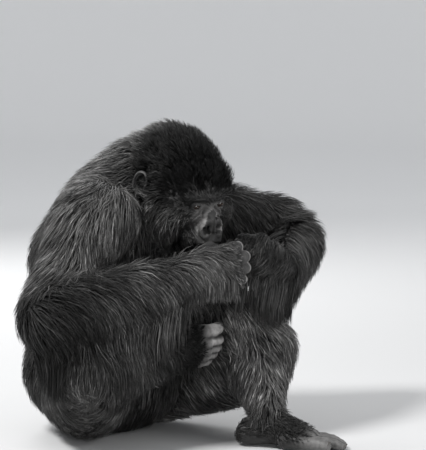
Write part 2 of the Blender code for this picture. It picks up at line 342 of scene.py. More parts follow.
def limb(name, a, b, depth, masses):
    chain = []
    for t, shift, radii in masses:
        p = [x + (y - x) * t for x, y in zip(a, b)]
        chain.append(Mass([x + y for x, y in zip(p, shift)], radii, depth))
    PARTS[name] = ([chain], BODY)


limb("forearm_right", ELBOW_R, WRIST_R, 0.028, [
    (-0.02, (0.00, 0.005, -0.006), (0.080, 0.082, 0.088)),
    (0.16, (0.00, 0.005, -0.006), (0.088, 0.088, 0.096)),
    (0.36, (0.00, 0.00, -0.014), (0.080, 0.080, 0.096)),
    (0.66, (0.00, 0.00, -0.008), (0.064, 0.064, 0.080)),
    (1.00, (0.00, 0.00, -0.003), (0.052, 0.050, 0.056))])
limb("forearm_left", ELBOW_L, WRIST_L, 0.026, [
    (-0.02, (0.00, 0.000, -0.006), (0.073, 0.073, 0.078)),
    (0.20, (0.00, 0.00, -0.010), (0.078, 0.078, 0.088)),
    (0.45, (0.00, 0.00, -0.014), (0.070, 0.070, 0.086)),
    (0.75, (0.00, 0.00, -0.010), (0.056, 0.056, 0.070)),
    (1.00, (0.00, 0.00, 0.000), (0.048, 0.048, 0.052))])
limb("upper_arm_right", SHOULDER_R, ELBOW_R, 0.028, [
    (-0.02, (-0.015, -0.01, 0.00), (0.112, 0.100, 0.104)),
    (0.22, (-0.005, 0.010, 0.010), (0.104, 0.094, 0.100)),
    (0.60, (-0.008, 0.00, -0.004), (0.086, 0.082, 0.090)),
    (0.97, (-0.015, 0.00, 0.00), (0.078, 0.078, 0.080))])
limb("upper_arm_left", SHOULDER_L, ELBOW_L, 0.028, [
    (-0.02, (-0.015, 0.01, 0.00), (0.106, 0.098, 0.096)),
    (0.22, (-0.005, 0.00, 0.006), (0.098, 0.092, 0.092)),
    (0.60, (-0.008, 0.00, 0.008), (0.084, 0.084, 0.092)),
    (0.82, (-0.008, 0.00, 0.018), (0.080, 0.080, 0.086)),
    (0.97, (-0.008, 0.00, 0.004), (0.072, 0.072, 0.074))])
limb("shin_right", KNEE_R, ANKLE_R, 0.020, [
    (0.03, (0.00, 0.00, -0.004), (0.078, 0.078, 0.078)),
    (0.30, (-0.010, 0.00, -0.012), (0.074, 0.074, 0.080)),
    (0.60, (-0.006, 0.00, -0.008), (0.058, 0.060, 0.068)),
    (1.00, (0.00, 0.00, -0.003), (0.047, 0.047, 0.049))])
limb("shin_left", KNEE_L, ANKLE_L, 0.020, [
    (0.03, (0.002, 0.00, -0.004), (0.080, 0.076, 0.078)),
    (0.32, (-0.026, 0.00, -0.008), (0.082, 0.072, 0.084)),
    (0.62, (-0.016, 0.00, -0.002), (0.062, 0.058, 0.064)),
    (1.00, (-0.004, 0.00, 0.004), (0.046, 0.046, 0.046))])
limb("thigh_right", HIP_R, KNEE_R, 0.022, [
    (0.00, (0.00, 0.00, 0.00), (0.125, 0.120, 0.122)),
    (0.35, (0.00, 0.00, -0.006), (0.114, 0.110, 0.122)),
    (0.70, (0.00, 0.00, -0.012), (0.096, 0.094, 0.106)),
    (1.00, (0.00, 0.00, 0.00), (0.084, 0.084, 0.086))])
limb("thigh_left", HIP_L, KNEE_L, 0.022, [
    (0.00, (0.00, 0.00, 0.00), (0.125, 0.120, 0.122)),
    (0.35, (0.00, 0.00, 0.018), (0.116, 0.112, 0.145)),
    (0.70, (0.00, 0.00, 0.024), (0.104, 0.100, 0.155)),
    (0.85, (0.00, 0.00, 0.014), (0.094, 0.094, 0.138)),
    (1.00, (0.00, 0.00, 0.00), (0.086, 0.084, 0.088))])
PARTS["chest"] = ([
    [Mass((0.010, 0, 0.415), (0.208, 0.258, 0.165), 0.030), Mass((0.030, 0, 0.520), (0.160, 0.205, 0.125), 0.030)],
    [Mass((0.030, 0.09, 0.520), (0.135, 0.125, 0.120), 0.030),
     Mass((0.040, -0.09, 0.515), (0.135, 0.125, 0.120), 0.030)]], BODY)
PARTS["abdomen"] = ([
    [Mass((0.006, 0, 0.325), (0.202, 0.250, 0.165), 0.024), Mass((0.004, 0, 0.235), (0.208, 0.246, 0.150), 0.024),
     Mass((-0.024, 0, 0.150), (0.198, 0.240, 0.165), 0.024)],
    [Mass((0.040, -0.02, 0.290), (0.186, 0.200, 0.150), 0.024),
     Mass((0.125, -0.050, 0.275), (0.135, 0.155, 0.125), 0.024)]], BODY)
PARTS["neck"] = ([
    [Mass((0.025, 0, 0.560), (0.140, 0.165, 0.110), 0.028),
     Mass((0.095, 0.0, 0.622), (0.128, 0.118, 0.112), 0.028)]], BODY)
HEAD_CHAINS = [
    [Mass((-0.006, 0, 0.022), (0.146, 0.116, 0.120), 0.025)],
    [Mass((-0.040, 0, 0.045), (0.090, 0.060, 0.098), 0.025)],
    [Mass((0.055, 0.066, -0.020), (0.100, 0.054, 0.094), 0.028), Mass((0.042, 0.050, -0.095), (0.080, 0.052, 0.062), 0.028)],
    [Mass((0.055, -0.066, -0.020), (0.100, 0.054, 0.094), 0.028),
     Mass((0.042, -0.050, -0.095), (0.080, 0.052, 0.062), 0.028)],
    [Mass((0.020, 0, -0.050), (0.095, 0.080, 0.080), 0.020)]]
PARTS["head"] = (HEAD_CHAINS, HEAD)


def digit(to_world, base, lengths, radii, bends, splay=0.0):
    place = Vector(base)
    turn = Matrix.Rotation(math.radians(splay), 3, "Z")
    chain = [Mass(place, radii[0])]
    angle = 0.0
    step = Vector((1, 0, 0))
    for length, radius, bend in zip(lengths, radii[1:], bends):
        angle += math.radians(bend)
        step = turn @ Vector((math.cos(angle), 0.0, -math.sin(angle)))
        before = chain[-1].r[0]
        chain.append(Mass(place + step * length * 0.5, 0.5 * (before + radius) * 0.90))
        place = place + step * length
        chain.append(Mass(place, radius))
    up = turn @ Vector((math.sin(angle), 0.0, math.cos(angle)))
    TIPS.append((to_world, place.copy(), step, step.cross(up), up, radii[-1]))
    JOINTS.append(to_world @ chain[2 if len(lengths) > 2 else 0].c)
    return chain


def hand(name, wrist, knuckles, back, side, bends, thumb):
    w, k = at(*wrist), at(*knuckles)
    to_world = frame_of(w, k - w, at(*back))
    long = (k - w).length
    chains = [[Mass((-0.012, 0, 0), (0.030, 0.040, 0.034), 0.004),
               Mass((long * 0.45, 0.0, 0.002), (0.03, 0.050, 0.030), 0.005),
               Mass((long * 0.80, 0.0, 0.000), (0.022, 0.054, 0.024), 0.004)]]
    across = (0.0385, 0.0135, -0.0125, -0.0370)
    reach = (-0.012, 0.0, -0.002, -0.012)
    size = (1.0, 1.06, 1.0, 0.86)
    for y, x, s in zip(across, reach, size):
        chains.append(digit(to_world, (long + x - 0.004, side * y, -0.004),
                            (0.046 * s, 0.030 * s, 0.020 * s),
                            (0.0160 * s, 0.0135 * s, 0.0128 * s, 0.0110 * s), bends))
    chains.append([Mass((0.02, side * 0.030, -0.010), 0.018),
                   Mass((thumb[0], side * thumb[1], thumb[2]), 0.0140),
                   Mass((thumb[3], side * thumb[4], thumb[5]), 0.0115)])
    PARTS[name] = (chains, to_world)


def foot(name, ankle, toes, back, side, bends, sole, spread, splay):
    a, t = at(*ankle), at(*toes)
    to_world = frame_of(a, t - a, at(*back))
    chains = [[Mass((-0.050, 0, sole + 0.033), (0.034, 0.033, 0.033), 0.003),
               Mass((0.005, 0.0, sole + 0.045), (0.040, 0.040, 0.045), 0.006),
               Mass((0.060, 0.0, sole + 0.034), (0.035, 0.044, 0.033), 0.005),
               Mass((0.098, side * -0.004, sole + 0.024), (0.022, 0.049 * spread, 0.024), 0.003)]]
    across = (0.0225, 0.0005, -0.0205, -0.0395)
    reach = (0.004, 0.004, -0.003, -0.014)
    for y, x in zip(across, reach):
        chains.append(digit(to_world, (0.110 + x, side * y * spread, sole + 0.020), (0.026, 0.019, 0.014),
                            (0.0145, 0.0118, 0.0116, 0.0108), bends))
    chains.append([Mass((0.045, side * 0.030, sole + 0.024), 0.022)] +
                  digit(to_world, (0.085, side * 0.050 * spread, sole + 0.021), (0.034, 0.026),
                        (0.0170, 0.0160, 0.0150), (bends[0], bends[1] * 0.6), splay=side * splay))
    PARTS[name] = (chains, to_world)


THUMB = (0.060, 0.050, -0.028, 0.085, 0.036, -0.050)
hand("hand_right", WRIST_R, KNUCKLE_R, (0.767, 0.626, 0.14), 1, (62, 88, 50), THUMB)
hand("hand_left", WRIST_L, KNUCKLE_L, (0.93, -0.05, 0.10), -1, (58, 85, 50), THUMB)
foot("foot_right", ANKLE_R, (0.304, -0.026, 0.206), (0.93, 0.20, -0.25), 1, (16, 26, 22), -0.050, 0.84, 3.0)
foot("foot_left", ANKLE_L, (0.590, -0.090, 0.062), (0.0, 0.0, 1.0), -1, (-2, 14, 14), -0.063, 1.0, 14.0)

# =====================================================================
# skin
# =====================================================================
TRUNK = ["chest", "abdomen", "neck", "upper_arm_right", "upper_arm_left", "forearm_right", "forearm_left",
         "thigh_right", "thigh_left", "shin_right", "shin_left"]
skin = remesh(hull_object("skin", [PARTS[n] for n in TRUNK]), 0.008, smooth=5)
combine(skin, remesh(hull_object("head_under", [(HEAD_CHAINS, HEAD)]), 0.005, smooth=3), "UNION")


def ellipsoid(name, centre, radii, to_world, turn=None, detail=4):
    return hull_object(name, [([[Mass(centre, radii, 0.0, turn)]], to_world)], detail)


def sculpt_face(mesh):
    """Folds and creases of the bare face, in the head's own axes: f forward,
    s to its right, u up."""
    co, no = coords(mesh), normals(mesh)
    p = head_local(co)
    f, s, u = p[:, 0], p[:, 1], p[:, 2]
    a = np.abs(s)
    front = smoothstep(f, 0.095, 0.120)
    d = np.zeros(len(co))
    # chevron folds on the bridge of the nose
    for c, w, depth in ((-0.002, 0.0020, 0.0016), (-0.0095, 0.0018, 0.0018), (-0.017, 0.0018, 0.0017),
                        (-0.0245, 0.0016, 0.0012)):
        line = u - 0.95 * a - c
        d -= depth * bell(line, w) * smoothstep(0.019 - a, 0, 0.006)
        d += 0.6 * depth * bell(line - 2.3 * w, w) * smoothstep(0.019 - a, 0, 0.006)

    def along(points, width, depth, ridge=0.0, side_shift=0.005):
        """A crease on both sides of the face along a line of (s, u) points."""
        nonlocal d
        best = np.full(len(co), 9.0)
        sign = np.zeros(len(co))
        for (s0, u0), (s1, u1) in zip(points, points[1:]):
            ds, du = s1 - s0, u1 - u0
            t = np.clip(((a - s0) * ds + (u - u0) * du) / (ds * ds + du * du), 0, 1)
            x, y = a - (s0 + ds * t), u - (u0 + du * t)
            dist = np.hypot(x, y)
            near = dist < best
            best[near] = dist[near]
            sign[near] = np.sign(ds * y - du * x)[near]
        d -= depth * bell(best, width) * front
        if ridge:
            d += ridge * bell(best * sign - side_shift, side_shift * 0.6) * front

    # fold round the nose wing and the two outside it, down to the lip
    along([(0.0060, -0.0360), (0.0130, -0.0315), (0.0240, -0.0345), (0.0340, -0.0470), (0.0360, -0.0610), (0.0330, -0.0780),
           (0.0240, -0.0880)], 0.0019, 0.0046, 0.0012, 0.0052)
    along([(0.0150, -0.0160), (0.0270, -0.0260), (0.0360, -0.0360), (0.0430, -0.0490), (0.0445, -0.0650), (0.0390, -0.0810)],
          0.0020, 0.0042, 0.0016, 0.0048)
    along([(0.0260, -0.0180), (0.0400, -0.0270), (0.0510, -0.0390), (0.0545, -0.0520), (0.0520, -0.0680)],
          0.0018, 0.0024, 0.0012, 0.0042)
    # under the eyes
    along([(0.0180, -0.020), (0.0260, -0.0285), (0.0350, -0.0310), (0.0450, -0.0270), (0.0510, -0.018)], 0.0015, 0.0016,
          0.0008, 0.0035)
    along([(0.0220, -0.028), (0.0300, -0.0360), (0.0400, -0.0380), (0.0520, -0.0310)], 0.0016, 0.0012, 0.0006, 0.0035)
    # over the eyes, along the brow
    along([(0.0130, 0.001), (0.0220, 0.0055), (0.0350, 0.0070), (0.0490, 0.0030)], 0.0016, 0.0015, 0.0006, 0.0035)
    along([(0.000, 0.009), (0.0200, 0.0135), (0.0380, 0.0145), (0.0560, 0.0090)], 0.0018, 0.0010)
    # the groove between the nostrils
    d -= 0.0022 * bell(a, 0.0016) * smoothstep(-u, 0.036, 0.044) * smoothstep(0.084 + u, 0, 0.008) * front
    d += 0.0008 * bell(a - 0.0045, 0.0022) * smoothstep(-u, 0.036, 0.044) * smoothstep(0.074 + u, 0, 0.008) * front
    # mouth
    mouth = u + 0.0965 + 1.6 * a * a / 0.045 * 0.10
    d -= 0.0055 * bell(mouth, 0.0021) * smoothstep(0.041 - a, 0, 0.006) * smoothstep(f, 0.11, 0.13)
    d += 0.0020 * bell(mouth - 0.006, 0.0040) * smoothstep(0.040 - a, 0, 0.010) * smoothstep(f, 0.11, 0.13)
    d += 0.0018 * bell(mouth + 0.006, 0.0040) * smoothstep(0.038 - a, 0, 0.010) * smoothstep(f, 0.11, 0.13)
    # fine creases of the lips and cheeks
    lips = smoothstep(-u, 0.072, 0.082) * smoothstep(f, 0.12, 0.14)
    d += 0.00028 * np.sin(s * 2100 + 2.0 * np.sin(u * 330)) * lips
    d += 0.00022 * np.sin(u * 1500 + a * 900 + 1.5 * np.sin(s * 260)) * front * (1 - lips)
    put_coords(mesh, co + no * d[:, None])


FACE_CHAINS = [
    [Mass((0.134, 0.052, 0.0160), 0.0165), Mass((0.143, 0.026, 0.0150), 0.0170), Mass((0.146, 0, 0.0130), 0.0170),
     Mass((0.143, -0.026, 0.0150), 0.0170), Mass((0.134, -0.052, 0.0160), 0.0165)],          # brow ridge
    [Mass((0.106, 0.040, 0.040), 0.025), Mass((0.127, 0.040, 0.024), 0.017)],
    [Mass((0.110, 0, 0.045), 0.027), Mass((0.137, 0, 0.024), 0.020)],
    [Mass((0.106, -0.040, 0.040), 0.025), Mass((0.127, -0.040, 0.024), 0.017)],              # forehead
    [Mass((0.116, 0.041, -0.016), (0.018, 0.025, 0.032))],
    [Mass((0.116, -0.041, -0.016), (0.018, 0.025, 0.032))],                                    # cheekbones
    [Mass((0.136, 0, 0.002), (0.013, 0.0105, 0.014)), Mass((0.146, 0, -0.020), (0.014, 0.0120, 0.016)),
     Mass((0.151, 0, -0.040), (0.019, 0.0190, 0.014))],                                        # bridge of the nose
    [Mass((0.103, 0, -0.072), (0.052, 0.051, 0.034)), Mass((0.133, 0, -0.087), (0.045, 0.045, 0.027))],   # upper lip
    [Mass((0.128, 0, -0.098), (0.045, 0.040, 0.022)), Mass((0.110, 0, -0.117), (0.043, 0.032, 0.020))]]   # chin
for side in (1, -1):
    # the thick rolled wing round each nostril, and what backs it
    wing = []
    for k in range(12):
        th = math.radians(20 + 30 * k)
        c, w = math.cos(th), math.sin(th)          # c: towards the midline is negative
        radius = 0.0054 + 0.0018 * max(0.0, c) + 0.0024 * max(0.0, w)
        wing.append(Mass((0.1675 - 0.0070 * max(0.0, c) + 0.0035 * max(0.0, -w), side * (0.0150 + 0.0112 * c - 0.0030 * w),
                          -0.0600 + 0.0190 * w - 0.0030 * c), radius))
    FACE_CHAINS.append(wing)
    FACE_CHAINS.append([Mass((0.146, side * 0.0140, -0.060), (0.0155, 0.0140, 0.0210))])
    # the upper lobe of the wing, running up beside the bridge
    FACE_CHAINS.append([Mass((0.1570, side * 0.0170, -0.0400), 0.0075), Mass((0.1500, side * 0.0100, -0.0270), 0.0065)])
    # cheek beside the nose, and the inner corner of the eye
    FACE_CHAINS.append([Mass((0.1400, side * 0.0230, -0.0370), 0.0110), Mass((0.1230, side * 0.0400, -0.0440), 0.0165),
                        Mass((0.1120, side * 0.0500, -0.0480), 0.0180)])
    FACE_CHAINS.append([Mass((0.1400, side * 0.0150, -0.0020), 0.0075), Mass((0.1400, side * 0.0170, -0.0140), 0.0070)])
    # flesh under and over the eye
    FACE_CHAINS.append([Mass((0.1350, side * 0.0200, -0.0250), 0.0085), Mass((0.1355, side * 0.0340, -0.0280), 0.0090),
                        Mass((0.1270, side * 0.0510, -0.0220), 0.0095)])
    FACE_CHAINS.append([Mass((0.1370, side * 0.0190, 0.0010), 0.0080), Mass((0.1385, side * 0.0340, 0.0040), 0.0090),
                        Mass((0.1310, side * 0.0510, 0.0000), 0.0090)])

face = remesh(hull_object("face", [(FACE_CHAINS, HEAD), (HEAD_CHAINS, HEAD)]), 0.0017, smooth=3)
combine(face, box_object("clip", (-0.4, -0.3, -0.3), (0.086, 0.3, 0.3), HEAD), "DIFFERENCE")
for side in (1, -1):
    eye = (EYE_FORWARD, side * EYE_APART / 2, EYE_LEVEL)
    combine(face, ellipsoid("lid", (eye[0] - 0.0008, eye[1], eye[2]), 0.0143, HEAD), "UNION")
    tilt = Matrix.Rotation(math.radians(side * 7.0), 4, "X")
    combine(face, ellipsoid("fissure", (eye[0] + 0.010, eye[1], eye[2] - 0.0010), (0.014, 0.0116, 0.0050), HEAD, tilt),
            "DIFFERENCE")
    slot = hull_object("nostril", [([[
        Mass((0.170, side * 0.0230, -0.0560), (0.018, 0.0034, 0.0036)),
        Mass((0.170, side * 0.0165, -0.0615), (0.022, 0.0046, 0.0040)),
        Mass((0.173, side * 0.0095, -0.0680), (0.016, 0.0034, 0.0032))]], HEAD)])
    combine(face, remesh(slot, 0.0012, 1), "DIFFERENCE")
remesh(face, 0.0013, smooth=1, factor=0.4)
sculpt_face(face.data)
print("face", len(face.data.polygons))
thin(face, 0.22)
combine(skin, face, "UNION")

for name, voxel in (("hand_right", 0.0019), ("hand_left", 0.0022), ("foot_right", 0.0018), ("foot_left", 0.0022)):
    piece = remesh(hull_object(name, [PARTS[name]]), voxel, smooth=3)
    print(name, len(piece.data.polygons))
    thin(piece, 0.30)
    combine(skin, piece, "UNION")

# ears: a cupped leaf with a rolled rim, a ridge inside it and a small flap in front
def ear_object(side):
    """The leaf of the ear, front and back surfaces with a shared edge. x is
    towards the face, z up and y away from the head."""
    rings, spokes = 22, 72
    bm = bmesh.new()
    front, rear = [], []
    for k in range(spokes):
        th = 2 * math.pi * k / spokes
        c, w = math.cos(th), math.sin(th)
        edge_x = (0.0165 if c > 0 else 0.0205) * (1.0 + 0.10 * max(0.0, w))
        edge_z = 0.0325 if w > 0 else 0.0300
        rim = 1.0 / math.hypot(c / edge_x, w / edge_z)
        line_f, line_r = [], []
        for i in range(1, rings + 1):
            t = i / rings
            x, z = c * rim * t, w * rim * t
            y = -0.0085 * math.exp(-(t / 0.62) ** 4) + 0.0030 * t
            roll = 0.0052 * math.exp(-((t - 0.88) / 0.085) ** 2)                  # rolled rim
            roll *= 0.35 + 0.65 * smooth_between(-c + 0.9 * w, -0.55, 0.15)
            y += roll
            inner = math.exp(-((t - 0.62 - 0.05 * w) / 0.075) ** 2) * smooth_between(-c, -0.15, 0.45)
            y += 0.0046 * inner                                                   # the fold inside the rim
            y += 0.0060 * math.exp(-((x - 0.0125) / 0.0042) ** 2 - ((z + 0.003) / 0.0070) ** 2)      # flap in front
            y += 0.0030 * math.exp(-((x - 0.001) / 0.0070) ** 2 - ((z + 0.0205) / 0.0050) ** 2)
            y -= 0.0060 * math.exp(-((x - 0.0055) / 0.0052) ** 2 - ((z + 0.0060) / 0.0085) ** 2)     # hollow
            if i == rings:
                v = bm.verts.new((x, side * (y - 0.0012), z))
                line_f.append(v)
                line_r.append(v)
            else:
                line_f.append(bm.verts.new((x, side * y, z)))
                line_r.append(bm.verts.new((x * 0.985, side * (-0.0036 + 0.0030 * t - 0.0070 * (1 - t)), z * 0.985)))
        front.append(line_f)
        rear.append(line_r)
    centre_f = bm.verts.new((0, side * -0.0100, 0))
    centre_r = bm.verts.new((0, side * -0.0150, 0))
    for a, b in zip(range(spokes), list(range(1, spokes)) + [0]):
        bm.faces.new((centre_f, front[a][0], front[b][0]))
        bm.faces.new((centre_r, rear[b][0], rear[a][0]))
        for i in range(rings - 1):
            bm.faces.new((front[a][i], front[a][i + 1], front[b][i + 1], front[b][i]))
            bm.faces.new((rear[b][i], rear[b][i + 1], rear[a][i + 1], rear[a][i]))
    bmesh.ops.triangulate(bm, faces=bm.faces[:])
    bmesh.ops.recalc_face_normals(bm, faces=bm.faces[:])
    lean = Matrix.Rotation(math.radians(side * -26.0), 4, "Z") @ Matrix.Rotation(math.radians(10.0), 4, "Y")
    place = HEAD @ Matrix.Translation((0.026, side * 0.1130, 0.014)) @ lean
    bmesh.ops.transform(bm, matrix=place, verts=bm.verts[:])
    me = bpy.data.meshes.new("ear")
    bm.to_mesh(me)
    bm.free()
    return new_object("ear", me), place


def smooth_between(x, a, b):
    t = max(0.0, min(1.0, (x - a) / (b - a)))
    return t * t * (3 - 2 * t)


EAR_PLACE = {}
for side, tag in ((1, "right"), (-1, "left")):
    ear, place = ear_object(side)
    EAR_PLACE[side] = np.array(place.inverted())
    stalk = hull_object("stalk", [([[Mass((0.004, side * -0.014, -0.004), (0.0115, 0.0100, 0.0190)),
                                     Mass((0.006, side * -0.026, -0.004), (0.0140, 0.0100, 0.0200))]], place)], 3)
    combine(ear, remesh(stalk, 0.0016, 1), "UNION")
    print("ear", len(ear.data.polygons))
    combine(skin, ear, "UNION")

# the floor takes off the lowest part of the flesh
combine(skin, box_object("ground", (-2, -2, -1), (2, 2, 0.0012), Matrix.Identity(4)), "DIFFERENCE")


def largest_island(mesh):
    n = len(mesh.vertices)
    edges = np.empty(len(mesh.edges) * 2, np.int32)
    mesh.edges.foreach_get("vertices", edges)
    edges = edges.reshape(-1, 2)
    label = np.arange(n)
    while True:
        low = np.minimum(label[edges[:, 0]], label[edges[:, 1]])
        new = label.copy()
        np.minimum.at(new, edges[:, 0], low)
        np.minimum.at(new, edges[:, 1], low)
        new = new[new]
        new = new[new]
        if (new == label).all():
            break
        label = new
    values, counts = np.unique(label, return_counts=True)
    keep = values[counts.argmax()]
    if len(values) > 1:
        bm = bmesh.new()
        bm.from_mesh(mesh)
        bm.verts.ensure_lookup_table()
        bmesh.ops.delete(bm, geom=[bm.verts[i] for i in np.nonzero(label != keep)[0]], context="VERTS")
        bm.to_mesh(mesh)
        bm.free()
    return len(values)


islands = largest_island(skin.data)
bm = bmesh.new()
bm.from_mesh(skin.data)
bmesh.ops.triangulate(bm, faces=bm.faces[:])
bm.to_mesh(skin.data)
bm.free()
skin.data.polygons.foreach_set("use_smooth", np.ones(len(skin.data.polygons), bool))
skin.data.update()
print("skin triangles", len(skin.data.polygons), "islands", islands)

# =====================================================================
# which part of the body a point of the skin belongs to
# =====================================================================
NAMES = list(PARTS)


def part_distance(name, points):
    chains, to_world = PARTS[name]
    inv = np.array(to_world.inverted())
    p = points @ inv[:3, :3].T + inv[:3, 3]
    best = np.full(len(points), 9.0)
    for chain in chains:
        pairs = list(zip(chain, chain[1:])) or [(chain[0], chain[0])]
        for m0, m1 in pairs:
            for t in (0.0, 0.25, 0.5, 0.75, 1.0):
                c = np.array(m0.c) * (1 - t) + np.array(m1.c) * t
                r = np.array(m0.r) * (1 - t) + np.array(m1.r) * t
                q = np.sqrt((((p - c) / r) ** 2).sum(1))
                best = np.minimum(best, (q - 1) * r.min())
    return best


def owners(points):
    table = np.stack([part_distance(n, points) for n in NAMES], 1)
    return table.argmin(1)


def noise3(points, scale, seed, waves=7):
    rng = np.random.default_rng(seed)
    out = np.zeros((len(points), 3))
    for _ in range(waves):
        k = rng.normal(size=3)
        k *= 2 * math.pi / scale / np.linalg.norm(k) * rng.uniform(0.7, 1.5)
        out += np.sin(points @ k + rng.uniform(0, 6.28))[:, None] * rng.normal(size=3)
    return out / math.sqrt(waves)


def unit(v):
    return v / np.maximum(np.linalg.norm(v, axis=-1, keepdims=True), 1e-9)


def world_dir(f, r, u):
    return np.array((-r, -f, u), float)


FACE_U = [-0.135, -0.118, -0.100, -0.085, -0.060, -0.040, -0.022, -0.008, 0.004, 0.013]
FACE_W = [0.008, 0.021, 0.031, 0.034, 0.037, 0.040, 0.045, 0.046, 0.040, 0.012]


def face_edge(p):
    """How far outside the bare face a head-local point is; negative inside."""
    f, s, u = p[:, 0], np.abs(p[:, 1]), p[:, 2]
    w = np.interp(u, FACE_U, FACE_W)
    e = np.maximum(s - w, u - 0.003)
    e = np.maximum(e, -0.130 - u)
    return np.maximum(e, (0.100 - f))


# =====================================================================
# coat
# =====================================================================
mesh = skin.data
V = coords(mesh)
tris = np.empty(len(mesh.polygons) * 3, np.int32)
mesh.polygons.foreach_get("vertices", tris)
tris = tris.reshape(-1, 3)
A, B, C = V[tris[:, 0]], V[tris[:, 1]], V[tris[:, 2]]
cross = np.cross(B - A, C - A)
area = np.linalg.norm(cross, axis=1) / 2
tri_n = unit(cross)
mid = (A + B + C) / 3
tri_part = owners(mid)
PN = {n: i for i, n in enumerate(NAMES)}
hp = head_local(mid)

# tufts for each square metre of skin, by region
density = np.full(len(tris), 38000.0)
for n, k in (("head", 120000.0), ("neck", 52000.0), ("chest", 42000.0), ("abdomen", 36000.0), ("upper_arm_right", 58000.0),
             ("upper_arm_left", 50000.0), ("forearm_right", 66000.0), ("forearm_left", 56000.0),
             ("thigh_right", 46000.0), ("thigh_left", 52000.0), ("shin_right", 56000.0), ("shin_left", 60000.0),
             ("hand_right", 110000.0), ("hand_left", 90000.0), ("foot_right", 90000.0), ("foot_left", 90000.0)):
    density[tri_part == PN[n]] = k
def on_ear(points, side):
    m = EAR_PLACE[side]
    q = points @ m[:3, :3].T + m[:3, 3]
    return (np.hypot(q[:, 0] / 0.0235, q[:, 2] / 0.0360) < 1) & (np.abs(q[:, 1]) < 0.0200)


is_head = tri_part == PN["head"]
edge = face_edge(hp)
density[is_head & (edge < 0)] = 0
density[is_head & (edge >= 0) & (edge < 0.02)] = 190000.0
# the ears are bare
for side in (1, -1):
    density[on_ear(mid, side)] = 0


def limb_local(name, points):
    inv = np.array(PARTS[name][1].inverted())
    return points @ inv[:3, :3].T + inv[:3, 3]


for n, knuckle, reach in (("hand_right", 0.122, 0.104), ("hand_left", 0.124, 0.164)):
    q = limb_local(n, mid)
    mine = tri_part == PN[n]
    bare = (q[:, 0] > reach + 0.008 * noise3(mid, 0.014, 23)[:, 0]) | ((q[:, 2] < -0.006) & (q[:, 0] > 0.015) & (q[:, 0] < knuckle - 0.012))
    bare |= (q[:, 2] < -0.034) & (q[:, 0] > 0.010)
    density[mine & bare] = 0
for n, sole in (("foot_right", -0.050), ("foot_left", -0.063)):
    q = limb_local(n, mid)
    mine = tri_part == PN[n]
    ragged = 0.012 * noise3(mid, 0.012, 21)[:, 0]
    bare = (q[:, 0] > (0.062 if n == "foot_right" else 0.086) + ragged) | (q[:, 2] < sole + 0.026)
    density[mine & bare] = 0
facing = unit(np.cross(B - A, C - A))
density[(tri_part == PN["hand_left"]) & (facing[:, 2] < -0.2)] *= 2.4
density[mid[:, 2] < 0.006] = 0

grid = ((mid - mid.min(0)) / 0.012).astype(np.int64)
code = np.zeros(len(mid), np.int64)
for b in range(9):
    for k in range(3):
        code |= ((grid[:, k] >> b) & 1) << (3 * b + k)
order = np.argsort(code, kind="stable")
weight = np.cumsum((area * density)[order])
count = int(weight[-1])
pick = (np.arange(count) + RNG.uniform(0, 1, count)) * (weight[-1] / count)
which = order[np.minimum(np.searchsorted(weight, pick), len(order) - 1)]
r1, r2 = RNG.uniform(size=count), RNG.uniform(size=count)
flip = r1 + r2 > 1
r1[flip], r2[flip] = 1 - r1[flip], 1 - r2[flip]
root = A[which] + (B - A)[which] * r1[:, None] + (C - A)[which] * r2[:, None]
vn = normals(mesh)
normal = unit(vn[tris[which, 0]] * (1 - r1 - r2)[:, None] + vn[tris[which, 1]] * r1[:, None] + vn[tris[which, 2]] * r2[:, None])
part = tri_part[which]
print("tufts", count)

DOWN = np.array((0, 0, -1.0))
hl = head_local(root)
length = np.full(count, 0.050)
depth = np.full(count, 0.024)
width = np.full(count, 0.0034)
tone = np.full(count, 0.030)
drop0 = np.full(count, 0.15)      # how much its own weight turns it, at the root and at the tip
drop1 = np.full(count, 0.45)
hold = np.full(count, 0.8)        # how closely it follows the skin
flow = np.tile(DOWN, (count, 1))
H = np.array(HEAD)[:3, :3]


def settle(names, **values):
    chosen = np.isin(part, [PN[n] for n in names])
    for key, value in values.items():
        globals()[key][chosen] = value
    return chosen


def lay(chosen, direction):
    flow[chosen] = np.asarray(direction) if np.ndim(direction) == 1 else direction[chosen]


def bone(a, b):
    return unit(np.array(at(*b) - at(*a)))


# trunk
m = settle(["chest"], length=0.084, depth=0.030, tone=0.064, drop0=0.1, drop1=0.35, width=0.0027)
side_r = np.clip(-root[:, 0] / 0.20, -1, 1)
back = unit(np.stack([-side_r * 0.45, 0.35 * np.ones(count), -np.ones(count)], 1))
lay(m, back)
m = settle(["abdomen"], length=0.062, depth=0.024, tone=0.040, width=0.0028)
lay(m, DOWN + world_dir(-0.15, 0, 0))
m = settle(["neck"], length=0.064, depth=0.028, tone=0.125, drop0=0.0, drop1=0.20, width=0.0024)
lay(m, unit(world_dir(-0.85, 0.0, -0.55)) + np.stack([-np.clip(-root[:, 0] / 0.1, -1, 1) * 0.3, np.zeros(count), np.zeros(count)], 1))
# arms
m = settle(["upper_arm_right"], length=0.092, depth=0.028, tone=0.096, drop0=0.05, drop1=0.30, width=0.0026)
lay(m, bone(SHOULDER_R, ELBOW_R) + world_dir(-0.30, 0, -0.25))
# painted shade: the far (left) upper arm's hair is toned darker than the near arm's
m = settle(["upper_arm_left"], length=0.082, depth=0.032, tone=0.040, drop0=0.1, drop1=0.4, width=0.0027)
lay(m, bone(SHOULDER_L, ELBOW_L) + world_dir(0.0, 0, -0.45))
m = settle(["forearm_right"], length=0.078, depth=0.028, tone=0.054, drop0=0.10, drop1=0.35, width=0.0026, hold=0.55)
lay(m, bone(ELBOW_R, WRIST_R) * 0.95 + world_dir(0.20, -0.28, -0.62))
m = settle(["forearm_left"], length=0.074, depth=0.028, tone=0.052, drop0=0.25, drop1=0.60, width=0.0027, hold=0.55)
lay(m, bone(ELBOW_L, WRIST_L) * 0.30 + world_dir(0.25, 0, -0.95))
